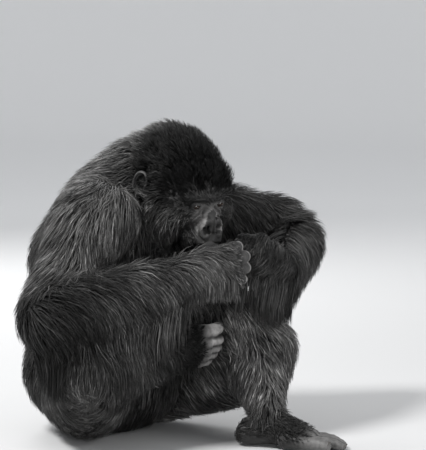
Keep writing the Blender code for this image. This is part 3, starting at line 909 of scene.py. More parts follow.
# legs
m = settle(["thigh_left"], length=0.066, depth=0.022, tone=0.135, drop0=0.1, drop1=0.25, width=0.0025)
lay(m, bone(HIP_L, KNEE_L) * 0.9 + world_dir(0, 0.15, -0.80))
m = settle(["thigh_right"], length=0.066, depth=0.022, tone=0.070, drop0=0.1, drop1=0.3, width=0.0026)
lay(m, bone(HIP_R, KNEE_R) * 0.9 + world_dir(0, 0, -0.6))
m = settle(["shin_left"], length=0.058, depth=0.020, tone=0.140, drop0=0.1, drop1=0.35, width=0.0025)
lay(m, bone(KNEE_L, ANKLE_L) + world_dir(-0.25, 0, -0.3))
m = settle(["shin_right"], length=0.056, depth=0.020, tone=0.042, drop0=0.2, drop1=0.5, width=0.0025)
lay(m, bone(KNEE_R, ANKLE_R) * 0.8 + world_dir(0, 0, -0.7))
# painted shade: the far (left) hand's hair is toned darker than the near hand's
for n, tone_here in (("hand_right", 0.090), ("hand_left", 0.040)):
    m = settle([n], depth=0.009, tone=tone_here, drop0=0.05, drop1=0.25, width=0.0017, hold=0.9)
    q = limb_local(n, root)
    if n == "hand_right":
        length[m] = np.interp(q[m, 0], (-0.02, 0.04, 0.08, 0.105), (0.068, 0.046, 0.026, 0.011))
    else:
        length[m] = np.interp(q[m, 0], (-0.02, 0.04, 0.10, 0.160), (0.068, 0.056, 0.046, 0.030))
    lay(m, np.array(PARTS[n][1])[:3, 0] + world_dir(0, 0, -0.55))
# painted shade: the hair of the right foot, in the hollow under the near arm, is toned darker than the left foot's
for n in ("foot_right", "foot_left"):
    m = settle([n], depth=0.007, tone=0.018 if n == "foot_right" else 0.032, drop0=0.0, drop1=0.15, width=0.0017, hold=0.9)
    q = limb_local(n, root)
    length[m] = np.interp(q[m, 0], (-0.03, 0.02, 0.066), (0.040, 0.024, 0.009))
    lay(m, np.array(PARTS[n][1])[:3, 0] + world_dir(0, 0, -0.2))
# head: up and back over the crown, down the temples and cheeks
m = settle(["head"], depth=0.025, drop0=0.0, drop1=0.08, width=0.0018, hold=0.85)
f, s, u = hl[:, 0], hl[:, 1], hl[:, 2]
top = smoothstep(u, 0.010, 0.055)
fore = smoothstep(f, 0.03, 0.10)
cheek = 1 - smoothstep(u, -0.010, 0.030)
sgn = np.sign(s)
behind = smoothstep(-f, 0.0, 0.07)
brow = smoothstep(f, 0.080, 0.112) * (1 - smoothstep(u, 0.040, 0.075)) * smoothstep(u, -0.018, -0.004)
local = unit(hl - np.array((0.150, 0.0, -0.020)))
local = local + cheek[:, None] * np.array((-0.15, 0.0, -0.95)) + behind[:, None] * np.array((-0.10, 0.0, -0.60))
local = local + brow[:, None] * np.array((-0.95, 0.0, 0.55))
flow[m] = (unit(local) @ H.T)[m]
edge_r = face_edge(hl)
grow = smoothstep(edge_r, 0.0, 0.045)
low = smoothstep(-u, 0.035, 0.085)
length[m] = ((0.031 * (1 - cheek) + (0.058 + 0.046 * low) * cheek) * (0.20 + 0.80 * grow))[m]
length[m] = (length + 0.014 * behind)[m]
depth[m] = ((0.025 * (1 - cheek) + 0.028 * cheek) * (0.12 + 0.88 * grow))[m]
ridge = brow * (1 - smoothstep(u, 0.010, 0.038))
length[m] *= (1 - 0.50 * ridge)[m]
depth[m] *= (1 - 0.70 * ridge)[m]
for side in (1, -1):
    e = EAR_PLACE[side]
    q = root @ e[:3, :3].T + e[:3, 3]
    beside = m & (np.abs(q[:, 2]) < 0.042) & (q[:, 0] > 0.0) & (q[:, 0] < 0.070) & (np.abs(q[:, 1]) < 0.05)
    length[beside] = np.clip(q[:, 0] - 0.010, 0.009, length)[beside]
    depth[beside] *= np.clip(q[:, 0] / 0.050, 0.25, 1.0)[beside]
width[m] = ((0.0010 + 0.0009 * grow + 0.0003 * cheek) * (1 - 0.30 * brow))[m]
tone[m] = (0.008 * top * (1 - behind) + 0.085 * cheek * (1 - behind) + 0.016 * (1 - top) * (1 - cheek) * (1 - behind)
           + 0.165 * behind)[m]
# black forehead hair as on the crown, and painted shade of the brow: the hair over the brow is darkened
tone[m] *= (1 - 0.88 * smoothstep(f, 0.060, 0.100) * smoothstep(u, -0.030, -0.004))[m]
# painted shade: the hair along the lower edge of the bare face is darkened where the key light falls on it
tone[m] *= (1 - 0.60 * (1 - smoothstep(edge_r, 0.008, 0.030)) * smoothstep(-u, 0.020, 0.040))[m]

# hair that hangs free under the arms and from the elbows
under = smoothstep(-normal[:, 2], 0.05, 0.75)
for n, more in (("forearm_right", 0.90), ("forearm_left", 0.05), ("upper_arm_right", 0.40), ("upper_arm_left", 0.0)):
    m = part == PN[n]
    length[m] *= (1 + more * under)[m]
    drop0[m] = (drop0 + (0.70 - drop0) * under)[m]
    drop1[m] = (drop1 + (0.95 - drop1) * under)[m]
    hold[m] = (hold * (1 - 0.9 * under))[m]
elbow = np.linalg.norm(root - np.array(at(*ELBOW_L)), axis=1)
m = (part == PN["forearm_left"]) | (part == PN["upper_arm_left"])
length[m] *= (1 - 0.45 * (1 - smoothstep(elbow, 0.06, 0.16)))[m]
q = limb_local("hand_right", root)
m = (part == PN["hand_right"]) & (q[:, 1] < -0.012) & (q[:, 0] < 0.095)
length[m] = np.maximum(length, 0.052)[m]
drop0[m] = 0.5
drop1[m] = 0.9
hold[m] = 0.2
q = limb_local("hand_left", root)
m = ((part == PN["hand_left"]) | (part == PN["forearm_left"])) & (normal[:, 2] < -0.25) & (q[:, 0] > -0.12)
length[m] = np.maximum(length, 0.108)[m]
width[m] *= 1.6
drop0[m] = 0.6
drop1[m] = 0.95
hold[m] = 0.1
elbow = np.linalg.norm(root - np.array(at(*ELBOW_R)), axis=1)
m = (part == PN["forearm_right"]) | (part == PN["upper_arm_right"])
tone[m] *= (1 - 0.70 * (1 - smoothstep(elbow, 0.05, 0.14)))[m]
# painted shade: the hair of the right shin, the right foot and the belly darkens towards the hollow between them
inside = np.linalg.norm(root - np.array(at(0.285, 0.040, 0.240)), axis=1)
m = np.isin(part, [PN["shin_right"], PN["foot_right"], PN["abdomen"]])
tone[m] *= (0.30 + 0.70 * smoothstep(inside, 0.07, 0.15))[m]
wrist = np.linalg.norm(root - np.array(at(*WRIST_R)), axis=1)
m = part == PN["forearm_right"]
tone[m] *= (1 + 0.5 * (1 - smoothstep(wrist, 0.05, 0.16)))[m]

# tones and lengths run into each other from one part to the next
some = RNG.permutation(count)[:2600]
blur_tone, blur_length = np.empty(count), np.empty(count)
for a0 in range(0, count, 6000):
    p = root[a0:a0 + 6000]
    d2 = (p ** 2).sum(1)[:, None] + (root[some] ** 2).sum(1)[None] - 2 * p @ root[some].T
    w = np.exp(-d2 / (2 * 0.034 ** 2)) + 1e-9
    w *= np.clip(normal[a0:a0 + 6000] @ normal[some].T + 0.3, 0.02, 1.0)
    w /= w.sum(1, keepdims=True)
    blur_tone[a0:a0 + 6000] = np.exp(w @ np.log(tone[some]))
    blur_length[a0:a0 + 6000] = w @ length[some]
own = np.where(part == PN["head"], smoothstep(hl[:, 0], -0.05, 0.02), 0.0)
own[np.isin(part, [PN["hand_right"], PN["hand_left"]])] = 0.4
own[np.isin(part, [PN["foot_right"], PN["foot_left"]])] = 0.4
tone = tone ** own * blur_tone ** (1 - own)
own = np.where(np.isin(part, [PN[n] for n in ("head", "hand_right", "hand_left", "foot_right", "foot_left")]), 1.0, 0.5)
length = length * own + blur_length * (1 - own)

# random character of each tuft
length *= RNG.uniform(0.70, 1.22, count)
width *= RNG.uniform(0.75, 1.3, count)
rise = RNG.uniform(0.45, 1.15, count)
patch = noise3(root, 0.085, 3)[:, 0]
tone *= np.clip(1.0 + 0.30 * patch, 0.5, 1.6) * RNG.lognormal(0.0, 0.55, count)

bend = noise3(root, 0.040, 11) * 0.26 + noise3(root, 0.15, 12) * 0.26 + RNG.normal(size=(count, 3)) * 0.16
flow = unit(flow)
along_skin = flow - normal * (flow * normal).sum(1, keepdims=True)
second = np.where(((part == PN["head"]) & (hl[:, 2] > 0))[:, None], np.array(HEAD)[:3, 2][None], DOWN[None])
weak = 1 - smoothstep(np.linalg.norm(along_skin, axis=1), 0.10, 0.45)
along_skin = along_skin + weak[:, None] * (second - normal * (second * normal).sum(1, keepdims=True)) * 0.6
flow = unit(unit(along_skin) + bend + normal * 0.10)

tree = BVHTree.FromPolygons([tuple(v) for v in V], [tuple(t) for t in tris.tolist()])


def nearest(points):
    q = np.empty_like(points)
    n = np.empty_like(points)
    find = tree.find_nearest
    for i, p in enumerate(points.tolist()):
        loc, nor, _, _ = find(p)
        q[i] = loc
        n[i] = nor
    return q, n


long_one = length > 0.034
RINGS = 3


def grow_tufts(start, nor, direction, seg_len, dep, rise_, d0, d1, hold_):
    """Centre line of each tuft: its root and three points after it."""
    points = [start - nor * 0.002]
    here = start.copy()
    surface = nor
    dirn = direction
    for k in range(1, RINGS + 1):
        t = k / RINGS
        w = (d0 + (d1 - d0) * t)[:, None]
        tangent = dirn - surface * (dirn * surface).sum(1, keepdims=True) * (1 if k > 1 else 0.6)
        step = unit(unit(tangent) * (1 - w) + DOWN * w)
        here = here + step * (seg_len / RINGS)[:, None]
        q, n = nearest(here)
        n = unit(n)
        height = ((here - q) * n).sum(1)
        want = dep * rise_ * (t ** 0.75) * 1.0 + 0.001
        lift = want - height
        lift = np.where(lift > 0, lift * 0.95, lift * hold_ * 0.7)
        here = here + n * lift[:, None]
        here[:, 2] = np.maximum(here[:, 2], 0.0015)
        points.append(here)
        surface = n
        dirn = step
    return np.stack(points, 1)


path = grow_tufts(root, normal, flow, length, depth, rise, drop0, drop1, hold)

# locks: neighbouring tufts lean together towards their tips
guide = np.nonzero(RNG.uniform(size=count) < 0.11)[0]
kd = KDTree(len(guide))
for j, i in enumerate(guide):
    kd.insert(root[i], j)
kd.balance()
mine = np.empty(count, np.int64)
far = np.empty(count)
for i, p in enumerate(root.tolist()):
    _, j, dist = kd.find(p)
    mine[i] = guide[j]
    far[i] = dist
pull = RNG.uniform(0.10, 0.60, count) * (far < 0.022) * ((normal * normal[mine]).sum(1) > 0.3)
pull = np.where(length > 0.02, pull, pull * 0.4)
for k in range(1, RINGS + 1):
    t = k / RINGS
    to = path[mine, k] - path[:, k]
    path[:, k] += to * (pull * t ** 1.3)[:, None]
path[:, 1:, 2] = np.maximum(path[:, 1:, 2], 0.0015)


def make_coat(name, chosen, uv_root):
    """One joined mesh of three-sided tapered tufts."""
    pieces = []
    base = 0
    verts, faces, tones, uvs = [], [], [], []
    for kind in (True, False):
        i = chosen[long_one[chosen] == kind]
        if not len(i):
            continue
        pts = path[i] if kind else path[i][:, [0, 2, 3]]
        rings = pts.shape[1] - 1
        t = np.linspace(0, 1, rings + 1)
        ahead = np.gradient(pts, axis=1)
        ahead = unit(ahead)
        out = unit(normal[i][:, None, :] - ahead * (normal[i][:, None, :] * ahead).sum(2, keepdims=True))
        side = np.cross(ahead, out)
        spin = RNG.uniform(-0.6, 0.6, len(i))[:, None, None]
        side2 = side * np.cos(spin) + out * np.sin(spin)
        out2 = out * np.cos(spin) - side * np.sin(spin)
        shape = np.array((0.75, 1.0, 0.62, 0.0)) if kind else np.array((0.8, 0.85, 0.0))
        half = width[i][:, None, None] / 2 * shape[None, :, None]
        ring = pts[:, :, None, :] + np.stack([side2 * half, out2 * half * 0.55, -side2 * half], 2)
        n = len(i)
        body = ring[:, :rings].reshape(n, rings * 3, 3)
        block = np.concatenate([body, pts[:, rings:rings + 1]], 1)
        per = rings * 3 + 1
        pattern = [(2, 1, 0)]
        for k in range(rings - 1):
            for c in range(3):
                a0, a1 = 3 * k + c, 3 * k + (c + 1) % 3
                b0, b1 = a0 + 3, a1 + 3
                pattern += [(a0, a1, b1), (a0, b1, b0)]
        for c in range(3):
            pattern.append((3 * (rings - 1) + c, 3 * (rings - 1) + (c + 1) % 3, per - 1))
        pattern = np.array(pattern)
        face = (np.arange(n)[:, None, None] * per + pattern[None]) + base
        along = np.repeat(t[:rings], 3)
        along = np.append(along, 1.0)
        shade = tone[i][:, None] * (0.30 + 0.95 * along ** 0.8)[None]
        across = np.append(np.tile((0.0, 0.5, 1.0), rings), 0.5)
        uv = uv_root[i][:, None, :] + 0.003 * (np.stack([across, along], 1)[None] - 0.5)
        verts.append(block.reshape(-1, 3))
        faces.append(face.reshape(-1, 3))
        tones.append(shade.ravel())
        uvs.append(uv.reshape(-1, 2))
        base += n * per
    verts, faces = np.concatenate(verts), np.concatenate(faces)
    tones, uvs = np.concatenate(tones), np.concatenate(uvs)
    me = bpy.data.meshes.new(name)
    me.vertices.add(len(verts))
    me.vertices.foreach_set("co", verts.astype(np.float32).ravel())
    me.loops.add(len(faces) * 3)
    me.loops.foreach_set("vertex_index", faces.astype(np.int32).ravel())
    me.polygons.add(len(faces))
    me.polygons.foreach_set("loop_start", np.arange(0, len(faces) * 3, 3, dtype=np.int32))
    me.polygons.foreach_set("use_smooth", np.ones(len(faces), bool))
    me.update(calc_edges=True)
    me.attributes.new("tone", "FLOAT", "POINT").data.foreach_set("value", tones.astype(np.float32))
    layer = me.uv_layers.new(name="OFBake")
    layer.data.foreach_set("uv", np.clip(uvs[faces.ravel()], 0.0005, 0.9995).astype(np.float32).ravel())
    obj = new_object(name, me)
    return obj, len(faces)


# an unwrap of the skin's own shape: round each part's bone and along it
AXES = {
    "head": (HEAD_ORIGIN, None), "neck": ((0.03, 0, 0.54), (0.13, 0, 0.68)), "chest": ((0, 0, 0.25), (0.03, 0, 0.66)),
    "abdomen": ((0, 0, 0.0), (0.02, 0, 0.48)), "upper_arm_right": (SHOULDER_R, ELBOW_R), "upper_arm_left": (SHOULDER_L, ELBOW_L),
    "forearm_right": (ELBOW_R, WRIST_R), "forearm_left": (ELBOW_L, WRIST_L), "thigh_right": (HIP_R, KNEE_R),
    "thigh_left": (HIP_L, KNEE_L), "shin_right": (KNEE_R, ANKLE_R), "shin_left": (KNEE_L, ANKLE_L),
    "hand_right": (WRIST_R, KNUCKLE_R), "hand_left": (WRIST_L, KNUCKLE_L), "foot_right": (ANKLE_R, (0.304, -0.026, 0.206)),
    "foot_left": (ANKLE_L, (0.590, -0.090, 0.062))}
uv_root = np.zeros((count, 2))
for n in NAMES:
    i = np.nonzero(part == PN[n])[0]
    if not len(i):
        continue
    a, b = AXES[n]
    o = np.array(at(*a))
    if b is None:
        axis = np.array(HEAD)[:3, 2]
    else:
        axis = unit(np.array(at(*b)) - o)
    e1 = unit(np.cross(axis, (0.31, 0.95, 0.12)))
    e2 = np.cross(axis, e1)
    d = root[i] - o
    x, y, z = d @ e1, d @ e2, d @ axis
    z = z + 0.6 * np.sign((normal[i] @ axis)) * (1 - np.minimum(1, np.hypot(x, y) / (np.hypot(x, y).max() + 1e-9))) * 0.12
    turn = np.arctan2(y, x) / (2 * math.pi) + 0.5
    lo, hi = z.min(), z.max()
    uv_root[i, 0] = 0.01 + 0.98 * turn
    uv_root[i, 1] = 0.01 + 0.98 * (z - lo) / max(hi - lo, 1e-6)
for group in (("hand_right", 0, 0), ("hand_left", 0, 1), ("foot_right", 1, 0), ("foot_left", 1, 1)):
    i = part == PN[group[0]]
    uv_root[i] = uv_root[i] * 0.48 + np.array((group[1], group[2])) * 0.5 + 0.01

coat_pieces = []
total = 0
for group in (["head"], ["neck"], ["chest"], ["abdomen"], ["upper_arm_right"], ["upper_arm_left"], ["forearm_right"],
              ["forearm_left"], ["thigh_right"], ["thigh_left"], ["shin_right"], ["shin_left"],
              ["hand_right", "hand_left", "foot_right", "foot_left"]):
    chosen = np.nonzero(np.isin(part, [PN[n] for n in group]))[0]
    if not len(chosen):
        continue
    name = "coat_" + (group[0] if len(group) == 1 else "hands_feet")
    cost = np.where(long_one[chosen], 16, 10).sum()
    parts_n = int(math.ceil(cost / 190000))
    for k in range(parts_n):
        obj, n = make_coat(name + ("" if parts_n == 1 else f"_{k + 1}"), chosen[k::parts_n], uv_root)
        coat_pieces.append(obj)
        total += n
print("coat triangles", total, "pieces", len(coat_pieces))


# =====================================================================
# eyes and nails
# =====================================================================
def eye_object(side):
    bm = bmesh.new()
    bmesh.ops.create_uvsphere(bm, u_segments=48, v_segments=32, radius=0.0123)
    gaze = Vector((1.0, side * 0.06, -0.22)).normalized()
    z = Vector((0, 0, 1))
    turn = z.rotation_difference(gaze).to_matrix().to_4x4()
    for v in bm.verts:
        axis = v.co.normalized().z
        ring = math.acos(max(-1, min(1, axis)))
        v.co += v.co.normalized() * 0.0008 * math.exp(-(ring / 0.38) ** 2)
    ring_layer = bm.verts.layers.float.new("ring")
    for v in bm.verts:
        v[ring_layer] = math.acos(max(-1, min(1, v.co.normalized().z)))
    bmesh.ops.transform(bm, matrix=HEAD @ Matrix.Translation((EYE_FORWARD, side * EYE_APART / 2, EYE_LEVEL)) @ turn,
                        verts=bm.verts[:])
    me = bpy.data.meshes.new("eye")
    bm.to_mesh(me)
    bm.free()
    me.polygons.foreach_set("use_smooth", np.ones(len(me.polygons), bool))
    return new_object("eyeball_" + ("right" if side > 0 else "left"), me)


eyes = [eye_object(1), eye_object(-1)]


def nails_object():
    bm = bmesh.new()
    for to_world, place, step, across, up, radius in TIPS:
        m = Matrix.Identity(4)
        for i, axis in enumerate((step, across, up)):
            for k in range(3):
                m[k][i] = axis[k]
        m.translation = place + up * radius * 0.86 + step * radius * 0.30
        grid_n, grid_m = 9, 9
        top, under = [], []
        for i in range(grid_n):
            for j in range(grid_m):
                x = (i / (grid_n - 1) * 2 - 1)
                y = (j / (grid_m - 1) * 2 - 1)
                k = math.sqrt(max(0.0, 1 - 0.5 * y * y)) if x > 0 else 1 - 0.10 * y * y
                px = x * radius * 0.62 * k
                py = y * radius * 0.62 * (1 - 0.12 * max(0, -x) ** 2)
                pz = -0.42 * radius * y * y - 0.10 * radius * x * x
                for store, dz in ((top, 0.0), (under, -0.0016)):
                    store.append(bm.verts.new(to_world @ m @ Vector((px, py, pz + dz))))
        for i in range(grid_n - 1):
            for j in range(grid_m - 1):
                q = [i * grid_m + j, (i + 1) * grid_m + j, (i + 1) * grid_m + j + 1, i * grid_m + j + 1]
                bm.faces.new([top[k] for k in q])
                bm.faces.new([under[k] for k in reversed(q)])
        rim = [i * grid_m for i in range(grid_n)] + [(grid_n - 1) * grid_m + j for j in range(1, grid_m)] \
            + [i * grid_m + grid_m - 1 for i in range(grid_n - 2, -1, -1)] + [j for j in range(grid_m - 2, 0, -1)]
        for a, b in zip(rim, rim[1:] + rim[:1]):
            bm.faces.new((top[b], top[a], under[a], under[b]))
    bmesh.ops.recalc_face_normals(bm, faces=bm.faces[:])
    me = bpy.data.meshes.new("nails")
    bm.to_mesh(me)
    bm.free()
    me.polygons.foreach_set("use_smooth", np.ones(len(me.polygons), bool))
    return new_object("nails", me)


nails = nails_object()

# =====================================================================
# skin tones, by place, with painted highlights and painted shade
# =====================================================================
V = coords(skin.data)
own = owners(V)
hp = head_local(V)
pale = np.full(len(V), 0.020)
is_face = (own == PN["head"])
f, s, u = hp[:, 0], np.abs(hp[:, 1]), hp[:, 2]
near_face = is_face & (face_edge(hp) < 0.01)
nose = smoothstep(f, 0.148, 0.166) * smoothstep(-u, 0.030, 0.042) * smoothstep(0.088 + u, 0, 0.012)
ring = np.hypot((s - 0.0150) / 0.0125, (u + 0.0600) / 0.0200)
# painted highlight: the nose pad, its lower rim, the rims of the wings and the bridge are painted paler where light
# catches the shiny skin
tip = smoothstep(f, 0.136, 0.172) * smoothstep(-u, 0.008, 0.044) * smoothstep(0.090 + u, 0, 0.016)
value = 0.062 + tip * (0.060 + 0.240 * bell(s, 0.014)) + 0.050 * tip * bell(ring - 1.06, 0.20)
value += 0.22 * tip * bell(s, 0.024) * smoothstep(-u, 0.062, 0.080)
value += 0.035 * smoothstep(-u, 0.004, 0.016) * smoothstep(0.040 + u, 0, 0.010) * bell(s, 0.014)
# painted shade: the bare skin darkens up towards the brow, under the brow hair
value *= 1 - 0.85 * smoothstep(u, -0.012, 0.003)
value *= 1 - 0.85 * smoothstep(s, 0.034, 0.047)
value *= 1 - 0.30 * smoothstep(-u, 0.074, 0.092)
value *= 1 - 0.50 * smoothstep(s, 0.027, 0.034) * smoothstep(-u, 0.040, 0.060)
# painted shade inside and round the nostrils
hollow = np.hypot((s - 0.0165) / 0.0085, (u + 0.0615 - 0.90 * (s - 0.0165)) / 0.0048)
value *= 1 - 0.90 * (1 - smoothstep(hollow, 0.70, 1.30)) * (1 - smoothstep(f, 0.162, 0.174))
# painted shade in the folds beside the nose wings and down the cheeks
for c in ((0.0290, -0.0400), (0.0340, -0.0470), (0.0360, -0.0610), (0.0350, -0.0700), (0.0330, -0.0780), (0.0430, -0.0490),
          (0.0445, -0.0650)):
    value *= 1 - 0.35 * bell(np.hypot(s - c[0], u - c[1]), 0.0055)
pale[near_face] = value[near_face]
for n, start in (("hand_right", 0.088), ("hand_left", 0.082)):
    q = limb_local(n, V)
    m = own == PN[n]
    # painted shade: the far (left) hand's skin takes a tenth of the near hand's tone
    pale[m] = ((0.022 + 0.030 * smoothstep(q[:, 0], start + 0.030, start + 0.048)) * (1.0 if n == "hand_right" else 0.10))[m]
    # painted highlight on the knuckles of the near (right) hand
    near = np.min([np.linalg.norm(V - np.array(j), axis=1) for j in JOINTS], axis=0)
    pale[m] += ((0.26 if n == "hand_right" else 0.0) * (1 - smoothstep(near, 0.0120, 0.0200)) * smoothstep(q[:, 0], 0.104, 0.118))[m]
for n, sole in (("foot_right", -0.050), ("foot_left", -0.063)):
    q = limb_local(n, V)
    m = own == PN[n]
    # painted highlight: the toes are painted pale where light falls on them, those of the right foot much paler than
    # the left; on the right foot it is weaker across the lesser toes
    pale[m] = (0.022 + (0.30 if n == "foot_right" else 0.09) * smoothstep(q[:, 0], 0.068, 0.116))[m]
    if n == "foot_right":
        pale[m] *= (1 - 0.38 * smoothstep(-q[:, 1], -0.022, -0.006))[m]
    spread, side = (0.84, 1.0) if n == "foot_right" else (1.0, -1.0)
    # painted shade between the toes
    gap = np.zeros(len(V))
    for g in (0.0365, 0.0115, -0.0100, -0.0300):
        gap = np.maximum(gap, bell(q[:, 1] * side - g * spread, 0.0042))
    pale[m] *= (1 - 0.86 * gap * smoothstep(q[:, 0], 0.074, 0.095))[m]
    pale[m & (q[:, 2] < sole + 0.008)] = 0.05
for side in (1, -1):
    m = on_ear(V, side)
    inv = EAR_PLACE[side]
    q = V @ inv[:3, :3].T + inv[:3, 3]
    # painted shade: the ear is near black in its hollow and on its back, paler on the raised rim and ridges
    pale[m] = (0.004 + 0.046 * smoothstep(q[:, 1] * side, 0.0015, 0.006))[m]
skin.data.attributes.new("tone", "FLOAT", "POINT").data.foreach_set("value", pale.astype(np.float32))


# =====================================================================
# materials
# =====================================================================
def fresh(name):
    mat = bpy.data.materials.new(name)
    mat.use_nodes = True
    nt = mat.node_tree
    bsdf = nt.nodes["Principled BSDF"]
    return mat, nt, bsdf


def node(nt, kind, **values):
    n = nt.nodes.new(kind)
    for key, value in values.items():
        if key.startswith("in_"):
            n.inputs[int(key[3:])].default_value = value
        else:
            setattr(n, key, value)
    return n


def tone_colour(nt, tint, noise_scale, low, high):
    """The stored tone, tinted, with a fine variation in it."""
    attr = node(nt, "ShaderNodeAttribute", attribute_name="tone", attribute_type="GEOMETRY")
    place = node(nt, "ShaderNodeTexCoord")
    noise = node(nt, "ShaderNodeTexNoise")
    noise.inputs["Scale"].default_value = noise_scale
    noise.inputs["Detail"].default_value = 4.0
    nt.links.new(place.outputs["Object"], noise.inputs["Vector"])
    spread = node(nt, "ShaderNodeMapRange")
    spread.inputs["From Min"].default_value = 0.3
    spread.inputs["From Max"].default_value = 0.7
    spread.inputs["To Min"].default_value = low
    spread.inputs["To Max"].default_value = high
    nt.links.new(noise.outputs["Fac"], spread.inputs["Value"])
    times = node(nt, "ShaderNodeMath", operation="MULTIPLY")
    nt.links.new(attr.outputs["Fac"], times.inputs[0])
    nt.links.new(spread.outputs["Result"], times.inputs[1])
    scale = node(nt, "ShaderNodeVectorMath", operation="SCALE")
    scale.inputs[0].default_value = tint
    nt.links.new(times.outputs["Value"], scale.inputs["Scale"])
    return scale.outputs["Vector"], place, noise


coat_mat, nt, bsdf = fresh("coat_fur")
colour, _, _ = tone_colour(nt, (1.0, 0.985, 0.965), 60.0, 0.8, 1.2)
nt.links.new(colour, bsdf.inputs["Base Color"])
bsdf.inputs["Roughness"].default_value = 0.45
bsdf.inputs["Specular IOR Level"].default_value = 0.14

skin_mat, nt, bsdf = fresh("bare_skin")
colour, place, noise = tone_colour(nt, (1.0, 0.975, 0.955), 95.0, 0.72, 1.25)
nt.links.new(colour, bsdf.inputs["Base Color"])
bsdf.inputs["Specular IOR Level"].default_value = 0.42
shine = node(nt, "ShaderNodeAttribute", attribute_name="tone", attribute_type="GEOMETRY")
rough = node(nt, "ShaderNodeMapRange")
rough.inputs["From Min"].default_value = 0.03
rough.inputs["From Max"].default_value = 0.20
rough.inputs["To Min"].default_value = 0.68
rough.inputs["To Max"].default_value = 0.38
nt.links.new(shine.outputs["Fac"], rough.inputs["Value"])
nt.links.new(rough.outputs["Result"], bsdf.inputs["Roughness"])
grain = node(nt, "ShaderNodeTexVoronoi")
grain.inputs["Scale"].default_value = 520.0
nt.links.new(place.outputs["Object"], grain.inputs["Vector"])
fine = node(nt, "ShaderNodeTexNoise")
fine.inputs["Scale"].default_value = 260.0
fine.inputs["Detail"].default_value = 5.0
nt.links.new(place.outputs["Object"], fine.inputs["Vector"])
add = node(nt, "ShaderNodeMath", operation="ADD")
nt.links.new(grain.outputs["Distance"], add.inputs[0])
nt.links.new(fine.outputs["Fac"], add.inputs[1])
bump = node(nt, "ShaderNodeBump")
bump.inputs["Strength"].default_value = 0.35
bump.inputs["Distance"].default_value = 0.0012
nt.links.new(add.outputs["Value"], bump.inputs["Height"])
nt.links.new(bump.outputs["Normal"], bsdf.inputs["Normal"])

eye_mat, nt, bsdf = fresh("wet_eye")
attr = node(nt, "ShaderNodeAttribute", attribute_name="ring", attribute_type="GEOMETRY")
ramp = node(nt, "ShaderNodeValToRGB")
el = ramp.color_ramp.elements
el[0].position, el[0].color = 0.0, (0.002, 0.002, 0.002, 1)
el[1].position, el[1].color = 0.20, (0.002, 0.002, 0.002, 1)
for pos, col in ((0.24, (0.022, 0.012, 0.007, 1)), (0.42, (0.015, 0.008, 0.005, 1)), (0.50, (0.004, 0.003, 0.003, 1)),
                 (0.60, (0.012, 0.009, 0.008, 1)), (1.0, (0.014, 0.010, 0.009, 1))):
    e = el.new(pos)
    e.color = col
nt.links.new(attr.outputs["Fac"], ramp.inputs["Fac"])
nt.links.new(ramp.outputs["Color"], bsdf.inputs["Base Color"])
bsdf.inputs["Roughness"].default_value = 0.05
bsdf.inputs["Specular IOR Level"].default_value = 0.22

nail_mat, nt, bsdf = fresh("dark_horn")
place = node(nt, "ShaderNodeTexCoord")
streak = node(nt, "ShaderNodeTexNoise")
streak.inputs["Scale"].default_value = 300.0
nt.links.new(place.outputs["Object"], streak.inputs["Vector"])
ramp = node(nt, "ShaderNodeValToRGB")
ramp.color_ramp.elements[0].color = (0.035, 0.031, 0.028, 1)
ramp.color_ramp.elements[1].color = (0.085, 0.078, 0.072, 1)
nt.links.new(streak.outputs["Fac"], ramp.inputs["Fac"])
nt.links.new(ramp.outputs["Color"], bsdf.inputs["Base Color"])
bsdf.inputs["Roughness"].default_value = 0.32

skin.data.materials.clear()
skin.data.materials.append(skin_mat)
for obj in coat_pieces:
    obj.data.materials.append(coat_mat)
for obj in eyes:
    obj.data.materials.append(eye_mat)
nails.data.materials.append(nail_mat)

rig.replaces(skin, *[n for n in frame["nodes"] if not n.startswith("eye_")])
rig.replaces(eyes[0], "eye_right")
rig.replaces(eyes[1], "eye_left")
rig.slot(skin, "skin")
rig.ride(skin, "root")
for obj in coat_pieces:
    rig.slot(obj, "coat")
    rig.ride(obj, "root")
for obj in eyes:
    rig.slot(obj, "eye")
    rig.ride(obj, "root")
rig.slot(nails, "nail")
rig.ride(nails, "root")

# =====================================================================
# floor, light and camera
# =====================================================================
profile = [(0.02, 0.0), (3.0, 0.0), (6.0, 0.0), (9.0, 0.0)] + [
    (9.0 + 3.0 * math.sin(math.radians(t)), 3.0 - 3.0 * math.cos(math.radians(t))) for t in range(6, 91, 6)] + [(12.0, 8.0)]
bm = bmesh.new()
steps = 96
rows = [[bm.verts.new((r * math.cos(2 * math.pi * k / steps), r * math.sin(2 * math.pi * k / steps), z)) for k in range(steps)]
        for r, z in profile]
bm.faces.new(list(rows[0]))
for r0, r1 in zip(rows, rows[1:]):
    for k in range(steps):
        bm.faces.new((r0[k], r1[k], r1[(k + 1) % steps], r0[(k + 1) % steps]))
bmesh.ops.recalc_face_normals(bm, faces=bm.faces[:])
me = bpy.data.meshes.new("floor")
bm.to_mesh(me)
bm.free()
me.polygons.foreach_set("use_smooth", np.ones(len(me.polygons), bool))
floor = new_object("studio_floor", me)
floor_mat, nt, bsdf = fresh("studio_floor")
place = node(nt, "ShaderNodeTexCoord")
split = node(nt, "ShaderNodeVectorMath", operation="LENGTH")
nt.links.new(place.outputs["Object"], split.inputs[0])
# painted light: the floor and the curved wall are coloured darker near the middle and paler further out
lift = node(nt, "ShaderNodeMapRange", interpolation_type="SMOOTHSTEP")
for key, value in (("From Min", 1.0), ("From Max", 6.0), ("To Min", 0.56), ("To Max", 0.95)):
    lift.inputs[key].default_value = value
nt.links.new(split.outputs["Value"], lift.inputs["Value"])
nt.links.new(lift.outputs["Result"], bsdf.inputs["Base Color"])
bsdf.inputs["Roughness"].default_value = 0.9
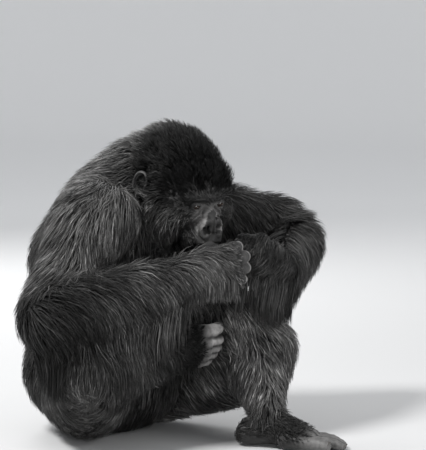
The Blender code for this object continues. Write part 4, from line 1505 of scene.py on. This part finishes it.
floor.data.materials.append(floor_mat)
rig.stage(floor)

world = bpy.data.worlds.new("studio")
scene.world = world
world.use_nodes = True
world.node_tree.nodes["Background"].inputs["Color"].default_value = (0.80, 0.82, 0.85, 1)
world.node_tree.nodes["Background"].inputs["Strength"].default_value = 0.56


def area_light(name, place, target, size, power):
    data = bpy.data.lights.new(name, "AREA")
    data.energy = power
    data.shape = "DISK"
    data.size = size
    obj = bpy.data.objects.new(name, data)
    scene.collection.objects.link(obj)
    obj.location = place
    obj.rotation_euler = (Vector(target) - Vector(place)).to_track_quat("-Z", "Y").to_euler()
    return obj


middle = Vector((0.0, -0.12, 0.38))
area_light("key", (-3.0, 0.3, 3.9), middle, 1.2, 260.0)
area_light("fill", (0.6, -3.8, 2.0), middle, 2.4, 36.0)
area_light("rim", (1.8, 2.4, 2.4), middle, 1.8, 70.0)

# a small lamp low in front, for the glint in the eyes and on the nose
look = Vector((-0.815, -0.570, 0.105))
facet = (HEAD.to_3x3() @ Vector((0.90, 0.33, 0.27))).normalized()
glint = facet * (2 * facet.dot(look)) - look
eye_at = HEAD @ Vector((EYE_FORWARD, EYE_APART / 2, EYE_LEVEL))
print("glint", tuple(round(x, 2) for x in glint))
area_light("glint", eye_at + glint * 2.6, eye_at, 0.22, 16.0)

target = Vector((0.050, -0.246, 0.5045))
az, el_ = math.radians(-55.0), math.radians(6.0)
direction = Vector((math.sin(az) * math.cos(el_), -math.cos(az) * math.cos(el_), math.sin(el_)))
cam_data = bpy.data.cameras.new("camera")
cam_data.lens = 221.3
cam_data.sensor_width = 36.0
cam = bpy.data.objects.new("camera", cam_data)
scene.collection.objects.link(cam)
cam.location = target + direction * 6.5
cam.rotation_euler = (-direction).to_track_quat("-Z", "Y").to_euler()
scene.camera = cam
scene.view_settings.view_transform = "Standard"

NEW_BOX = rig.bounds()
with open("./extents.json", "w") as out_file:
    json.dump({"cad": [[float(x) for x in c] for c in CAD_BOX], "visual": [[float(x) for x in c] for c in NEW_BOX]}, out_file)
